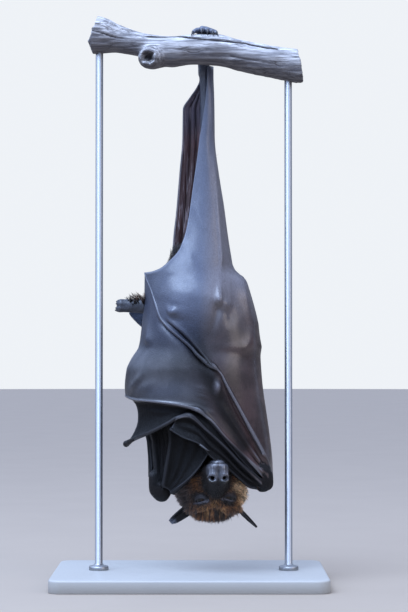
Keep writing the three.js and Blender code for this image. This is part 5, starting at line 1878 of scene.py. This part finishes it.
# ---- eyes and claws


def finished_piece(thing, material, slot, *nodes):
    """Gives a piece its material and body, and hides the construction nodes that it stands for. Its slot is
    not used.
    """
    thing.data.materials.clear()
    thing.data.materials.append(material)
    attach(thing, "root")
    if nodes:
        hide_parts(*nodes)


def tube_faces(rings, sides):
    """Three-sided faces of a tube made ring by ring, closed by the two points that follow its rings."""
    faces = []
    for a in range(sides):
        b = (a + 1) % sides
        for r in range(0, (rings - 1) * sides, sides):
            faces += [(r + a, r + b, r + sides + b), (r + a, r + sides + b, r + sides + a)]
        end = (rings - 1) * sides
        faces += [(rings * sides, b, a), (rings * sides + 1, end + a, end + b)]
    return faces


def tube(path, radii, sides, flat):
    """A closed tube along a path of points, its sections narrowed sideways by flat."""
    path = np.asarray(path, float)
    ahead = unit(np.gradient(path, axis=0))
    across = np.cross(ahead, np.cross(path[-1] - path[0], path[len(path) // 2] - path[0]))
    if np.linalg.norm(across) < 1e-6:
        across = np.cross(ahead, (0, 1, 0))
    across = unit(across)
    beside = np.cross(ahead, across)
    turn = np.linspace(0, 2 * np.pi, sides, endpoint=False)
    ring = across[:, None] * np.cos(turn)[:, None] + beside[:, None] * (flat * np.sin(turn))[:, None]
    rings = path[:, None] + ring * np.asarray(radii)[:, None, None]
    points = np.vstack([rings.reshape(-1, 3), path[0], path[-1]])
    return points, tube_faces(len(path), sides)


EYE_RINGS, EYE_SIDES = 38, 48


def eyeball(side, material):
    """An eye with a raised cornea. Its 'off_axis' attribute holds the distance from the line of sight."""
    along, across, out = eye_axes(side)
    tilt = np.linspace(0, np.pi, EYE_RINGS + 2)
    turn = np.linspace(0, 2 * np.pi, EYE_SIDES, endpoint=False)
    lens = EYE["radius"] + 0.35 * np.exp(-((tilt / 0.5) ** 4))
    path = np.outer(lens * np.cos(tilt), out)
    ring = np.outer(np.cos(turn), along) + np.outer(np.sin(turn), across)
    rings = path[1:-1, None] + ring[None] * (lens * np.sin(tilt))[1:-1, None, None]
    points = eye_middle(side) + np.vstack([rings.reshape(-1, 3), path[0], path[-1]])
    name = "right" if side > 0 else "left"
    eye = mesh_object(f"eyeball_{name}", points, tube_faces(EYE_RINGS, EYE_SIDES))
    store(eye.data, "off_axis", "FLOAT", [*np.repeat(tilt[1:-1], EYE_SIDES), 0, np.pi])
    finished_piece(eye, material, "eye", f"eye_{name}")


PUPIL, IRIS_DARK, IRIS_LIGHT = (0.002, 0.002, 0.002), (0.008, 0.005, 0.003), (0.03, 0.014, 0.006)
EYE_RIM = (0.03, 0.02, 0.016)


def eye_material():
    """A dark brown eye: a pupil, a streaky iris and a paler rim around them."""
    constants = {"Roughness": 0.35, "Specular_IOR_Level": 0.2, "Coat_Weight": 0.2, "Coat_Roughness": 0.05}
    material, nodes, shader = blank_material("eye_glaze", **constants)
    off = nodes.mark("off_axis")
    streak = nodes.noise(nodes.here(), 2600.0, 3.0)
    iris = nodes.mix(streak, IRIS_DARK, IRIS_LIGHT)
    colour = nodes.mix(nodes.span(off, 0.3, 0.38), PUPIL, iris)
    base_colour(nodes, shader, nodes.mix(nodes.span(off, 0.85, 1.0), colour, EYE_RIM))
    return material


FREE_CLAW = ((0.4, 3.4, 0), (-0.3, 6, -0.2), (1.2, 8.6, -0.5), (4.4, 9.8, -0.8))  # steps from the toe's tip
THUMB_CLAW = ((0, 0, 0), (-1, 1.5, 4), (-2, -0.5, 7.5), (-2.5, -4, 9))
INDEX_CLAW = [(9.5, -53, 130), (13, -54.5, 127.4), (16, -54.6, 125.2), (18, -53.5, 124.6)]
WOOD_SURFACE = 14.9


def holding_claw(n):
    """A claw that reaches from the end of a toe down the front of the wood."""
    reach = 18.8 - TOE_DROP[n]
    turns = ((111, reach + 0.4), (119, reach + 1.3), (127, reach + 0.2), (133, WOOD_SURFACE))
    return [(TOE_X[n] + (n - MIDDLE_TOE) * k * 0.3, *round_wood(turn, max(far, WOOD_SURFACE)))
            for k, (turn, far) in enumerate(turns)]


def stepped(start, steps):
    return [tuple(np.array(start) + step) for step in steps]


CLAW_RINGS, CLAW_SIDES, CLAW_FLAT = 22, 16, 0.72


def make_claws(material):
    routes = {}
    for n in range(TOES):
        routes[f"claw_foot_right_{n + 1}"] = holding_claw(n)
        routes[f"claw_foot_left_{n + 1}"] = stepped((FREE_TOE_TIP[n], *free_toe_place(n)), FREE_CLAW)
    for side in ("right", "left"):
        routes[f"claw_thumb_{side}"] = stepped(THUMB[side][-1], THUMB_CLAW)
    routes["claw_index_right"] = INDEX_CLAW
    for name, route in routes.items():
        share = np.linspace(0, 1, CLAW_RINGS)
        radii = 1.35 * (1 - share**1.6) ** 0.75 + 0.06
        points, faces = tube(smooth_path(route, CLAW_RINGS), radii, CLAW_SIDES, CLAW_FLAT)
        claw = mesh_object(name.replace("claw", "horn"), points, faces)
        finished_piece(claw, material, "claw", name)


def smooth_path(points, count):
    """Points on a smooth curve through the given ones."""
    points = np.asarray(points, float)
    slope = np.gradient(points, axis=0)
    at = np.linspace(0, len(points) - 1, count)
    k = np.minimum(at.astype(int), len(points) - 2)
    return hermite(points[k], points[k + 1], slope[k], slope[k + 1], (at - k)[:, None])


HORN_DARK, HORN_LIGHT = (0.012, 0.012, 0.014), (0.05, 0.05, 0.058)


def horn_material():
    material, nodes, shader = blank_material("claw_horn", Specular_IOR_Level=0.6)
    streak = nodes.noise(nodes.stretched((1, 1, 0.3)), 1500.0, 4.0)
    base_colour(nodes, shader, nodes.mix(streak, HORN_DARK, HORN_LIGHT))
    nodes.feed(shader.inputs["Roughness"], nodes.span(streak, 0.2, 0.8, 0.22, 0.42))
    add_bump(nodes, shader, streak, 0.0002, 0.6)
    return material


# ---- driftwood perch

WOOD = table([  # place along the branch, height of its middle, half depth and half height
    (-96, 506.6, 16, 18), (-88, 507.2, 17, 17.6), (-80, 506.6, 16.5, 16.6), (-66, 503.2, 13.4, 13),
    (-46, 497.8, 12, 11.2), (-30, 493, 13, 13), (-17, 491.5, 14.2, 14.2), (3, 493.4, 13.8, 13.8),
    (23, 493, 14.6, 14.6), (47, 487.7, 14.5, 14.5), (68, 483.3, 14.7, 14.7), (87, 479.9, 15, 15),
    (106, 477.6, 16, 15.6),
])
STUB = [(-30, 6, 490, 12), (-35, -8, 485.2, 11.2), (-37.6, -17, 482.8, 9.6)]
STUB_HOLLOW = [(-37.6, -17, 483.2, 3.4), (-38.4, -24, 482.6, 5.6), (-39.5, -32, 482.2, 8)]
HOLLOW_MIDDLE = (-38.2, -20, 482.8)
WOOD_CRACKS = (  # the line of a crack as [x, z] and its depth
    ([(-49, 504.2), (-11, 504.4), (26, 500), (51, 498), (72, 493.7), (84, 492.5)], 1.7),
    ([(-92, 509), (-84, 507.5), (-70, 502.5), (-58, 502)], 1.0),
    ([(-20, 492), (4, 490.5), (20, 491.5)], 0.5),
    ([(34, 486), (52, 482), (80, 478)], 0.6),
)


def ripple(points, scale, seed):
    """Smooth random waves between -1 and 1. A larger scale makes them smaller."""
    at = points * np.asarray(scale, float)
    cell = np.floor(at).astype(np.int64)
    share = at - cell
    share = share * share * (3 - 2 * share)
    values = np.random.default_rng(seed).uniform(-1, 1, 4096)
    total = np.zeros(len(points))
    for corner in CORNERS:
        weight = np.where(corner, share, 1 - share).prod(1)
        total += weight * values[((cell + corner) @ np.array([73856093, 19349663, 83492791])) % 4096]
    return total


def near_wood(p):
    """The branch with the stub of a broken side branch, a broken left end and a sawn right one."""
    middle, half_y, half_z = WOOD(p[:, 0]).T
    round_off = np.hypot(p[:, 1] / half_y, (p[:, 2] - middle) / half_z)
    found = (round_off - 1) * np.minimum(half_y, half_z)
    found = melt(found, near_chain(p, STUB), 5)
    found = carve(found, near_chain(p, STUB_HOLLOW) + 1.6 * ripple(p, (0.3, 0.3, 0.3), 4), 1.6)
    rough = 0.9 * ripple(p, (0.2, 0.35, 0.35), 5)
    broken = -(p[:, 0] + 93.5) * 0.94 + 0.34 * np.abs(p[:, 2] - 500) + rough
    sawn = (p[:, 0] - 102) * 0.985 + (p[:, 2] - 478) * 0.17
    return np.maximum(np.maximum(found, broken), sawn)


def driftwood(material):
    points, faces = surface_of(near_wood, (-100, -30, 464), (108, 24, 530), 1.25)
    normal = point_normals(points, faces)
    grain = 0.34 * ripple(points, (0.03, 0.55, 0.55), 1) + 0.22 * ripple(points, (0.06, 1.1, 1.1), 2)
    grain += 0.5 * ripple(points, (0.05, 0.16, 0.16), 3)
    side = smooth_step(-0.2, 0.4, -normal[:, 1])
    depth = np.zeros(len(points))
    wavy = points[:, [0, 2]] + 0.5 * ripple(points, (0.12, 0.1, 0.1), 6)[:, None]
    for line, deep in WOOD_CRACKS:
        off, share = to_line(wavy, line)
        ends = np.clip(np.sin(np.pi * np.clip(share, 0.02, 0.98)) * 3, 0, 1)
        depth = np.maximum(depth, deep * ends * np.exp(-((off / 0.75) ** 2)))
    depth *= side
    wood = mesh_object("driftwood", points + normal * (grain - depth)[:, None], faces)
    hole = np.exp(-(lengths((points - HOLLOW_MIDDLE) / (6, 9, 6)) ** 4))
    hole *= 0.55 + 0.35 * ripple(points, (0.4, 0.4, 0.4), 8)
    store(wood.data, "crack", "FLOAT", np.clip(depth + hole, 0, 1))
    finished_piece(wood, material, "driftwood", "perch_branch")


GRAIN_TURN = (0, 0.07, 0)  # the grain follows the branch's slope
WOOD_DARK, WOOD_LIGHT = (0.15, 0.145, 0.155), (0.58, 0.565, 0.57)
WOOD_STAIN, WOOD_FIBRE = (0.24, 0.2, 0.17), (0.1, 0.095, 0.1)
# the last of these is painted shade for the wood's underside
WOOD_CHECK, WOOD_CRACK, WOOD_UNDERSIDE_SHADE = (0.05, 0.045, 0.045), (0.02, 0.016, 0.015), (0.05, 0.046, 0.055)


def wood_material():
    """Bleached grey wood: stained, fibrous and finely cracked, and darker on its underside as painted
    shade.
    """
    material, nodes, shader = blank_material("bleached_driftwood", Specular_IOR_Level=0.3)
    long_grain = nodes.noise(nodes.stretched((0.06, 1, 1), GRAIN_TURN), 420.0, 6.0, 0.62, 0.3)
    fibre = nodes.noise(nodes.stretched((0.035, 1, 1), GRAIN_TURN), 1300.0, 4.0, 0.6)
    cloud = nodes.noise(nodes.stretched((0.5, 1, 1)), 60.0, 5.0, 0.6)
    checks = nodes.span(nodes.cracks(nodes.stretched((0.09, 1, 1), GRAIN_TURN), 230.0), 0.0, 0.06, 1, 0)
    checks = nodes.times(checks, nodes.span(cloud, 0.45, 0.6))
    normal = nodes.add("ShaderNodeNewGeometry").outputs["Normal"]
    upward = nodes.add("ShaderNodeSeparateXYZ", Vector=normal).outputs[2]
    colour = nodes.mix(nodes.span(long_grain, 0.35, 0.68), WOOD_DARK, WOOD_LIGHT)
    layers = (
        (nodes.times(nodes.span(cloud, 0.5, 0.75), 0.5), WOOD_STAIN),
        (nodes.times(nodes.span(fibre, 0.5, 0.75), 0.5), WOOD_FIBRE),
        (nodes.times(checks, 0.75), WOOD_CHECK),
        (nodes.span(nodes.mark("crack"), 0.12, 0.75), WOOD_CRACK),
        # painted shade: darker where the wood faces down
        (nodes.span(nodes.math("ADD", upward, nodes.times(cloud, 0.3)), -0.5, 0.85, 0.8, 0), WOOD_UNDERSIDE_SHADE),
    )
    for share, tint in layers:
        colour = nodes.mix(share, colour, tint)
    base_colour(nodes, shader, colour)
    nodes.feed(shader.inputs["Roughness"], nodes.span(fibre, 0, 1, 0.62, 0.85))
    height = nodes.math("ADD", long_grain, nodes.times(fibre, 0.4))
    height = nodes.math("SUBTRACT", height, nodes.times(checks, 0.5))
    add_bump(nodes, shader, height, 0.0009, 0.9)
    return material


# ---- display stand

BOARD_SIZE, BOARD_CORNER, BOARD_EDGE = (250, 170, 12), 12, 2
UPRIGHTS = (("left", -84, 492), ("right", 91, 470))  # side, place and height of the top
COLLAR = [(0.5, 11.5), (8.6, 11.5), (9, 12), (9, 15), (8.4, 15.8), (5.2, 16.4), (3.5, 18)]  # radius, height
UPRIGHT_SIDES = 48


def lathe(name, profile, x):
    """A turned upright at x, from rows of radius and height."""
    radius, height = np.array(profile, float).T
    turn = np.linspace(0, 2 * np.pi, UPRIGHT_SIDES, endpoint=False)
    levels = np.repeat(height[:, None], UPRIGHT_SIDES, 1)
    rings = np.stack([x + radius[:, None] * np.cos(turn), radius[:, None] * np.sin(turn), levels], -1)
    points = np.vstack([rings.reshape(-1, 3), (x, 0, height[0]), (x, 0, height[-1])])
    return mesh_object(name, points, tube_faces(len(radius), UPRIGHT_SIDES))


def rounded_board(name, size, corner, edge):
    """A flat board with round corners and softened edges, standing on the floor."""
    long, deep, thick = size
    turn = np.linspace(0, np.pi / 2, 13)
    steps = [(0.6, 0), (0, 0.6), (0, thick - edge)]
    for a in np.linspace(0.2, np.pi / 2, 8):
        steps.append((edge * (1 - math.cos(a)), thick - edge + edge * math.sin(a)))
    rings = []
    for inset, z in steps:
        ring = []
        for quarter, (sx, sy) in enumerate(((1, 1), (-1, 1), (-1, -1), (1, -1))):
            x, y = sx * (long / 2 - corner), sy * (deep / 2 - corner)
            for a in turn + quarter * np.pi / 2:
                ring.append((x + (corner - inset) * math.cos(a), y + (corner - inset) * math.sin(a), z))
        rings.append(ring)
    sides = len(rings[0])
    points = np.vstack([np.array(rings).reshape(-1, 3), (0, 0, 0), (0, 0, thick)])
    return mesh_object(name, points, tube_faces(len(rings), sides))


def make_stand():
    steel = brushed_steel()
    board = rounded_board("stand_board", BOARD_SIZE, BOARD_CORNER, BOARD_EDGE)
    finished_piece(board, satin_paint(), "stand_paint", "stand_base")
    for side, x, top in UPRIGHTS:
        upright = lathe(f"stand_upright_{side}", [*COLLAR, (3.5, top), (3, top + 1)], x)
        finished_piece(upright, steel, "stand_steel", f"stand_rod_{side}")


PAINT_DARK, PAINT_LIGHT = (0.33, 0.32, 0.3), (0.38, 0.37, 0.345)
STEEL_DARK, STEEL_LIGHT = (0.26, 0.265, 0.27), (0.36, 0.36, 0.37)


def satin_paint():
    material, nodes, shader = blank_material("stand_satin_paint", Specular_IOR_Level=0.5)
    grain = nodes.noise(nodes.here(), 1500.0, 3.0)
    cloud = nodes.noise(nodes.here(), 14.0, 4.0)
    base_colour(nodes, shader, nodes.mix(cloud, PAINT_DARK, PAINT_LIGHT))
    nodes.feed(shader.inputs["Roughness"], nodes.span(grain, 0.3, 0.7, 0.42, 0.52))
    add_bump(nodes, shader, grain, 0.00008, 0.6)
    return material


def brushed_steel():
    material, nodes, shader = blank_material("stand_brushed_steel", Metallic=1.0)
    brush = nodes.noise(nodes.stretched((1, 1, 0.02)), 3000.0, 3.0)
    base_colour(nodes, shader, nodes.mix(brush, STEEL_DARK, STEEL_LIGHT))
    nodes.feed(shader.inputs["Roughness"], nodes.span(brush, 0.3, 0.7, 0.34, 0.48))
    add_bump(nodes, shader, brush, 0.00004, 0.5)
    return material


# ---- putting it together

WRIST_FOLDS = ((68, -20, 99), (-27, -19, 92))  # where wing, wrist and thumb meet


def make_bat():
    parts = skin_parts()
    skin = join_skin(parts)
    for spot in WRIST_FOLDS:
        soften(skin, spot, 20, 24)
    mark_skin(skin, parts)
    mark_relief(skin)
    markings = coat_markings()
    flesh = [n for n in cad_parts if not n.startswith(("stand", "perch", "claw", "eye"))]
    finished_piece(skin, skin_material(markings, leather_relief()), "wing_skin", *flesh)
    fur = coat_material(markings)
    for coat in make_coat(parts, fur):
        on_head = coat.name.removeprefix("coat_") in HEAD_REGIONS
        finished_piece(coat, fur, "fur_head" if on_head else "fur_body")
    glaze = eye_material()
    for side in (-1, 1):
        eyeball(side, glaze)
    make_claws(horn_material())


place_camera()
light_studio()
lay_floor()
make_bat()
driftwood(wood_material())
make_stand()
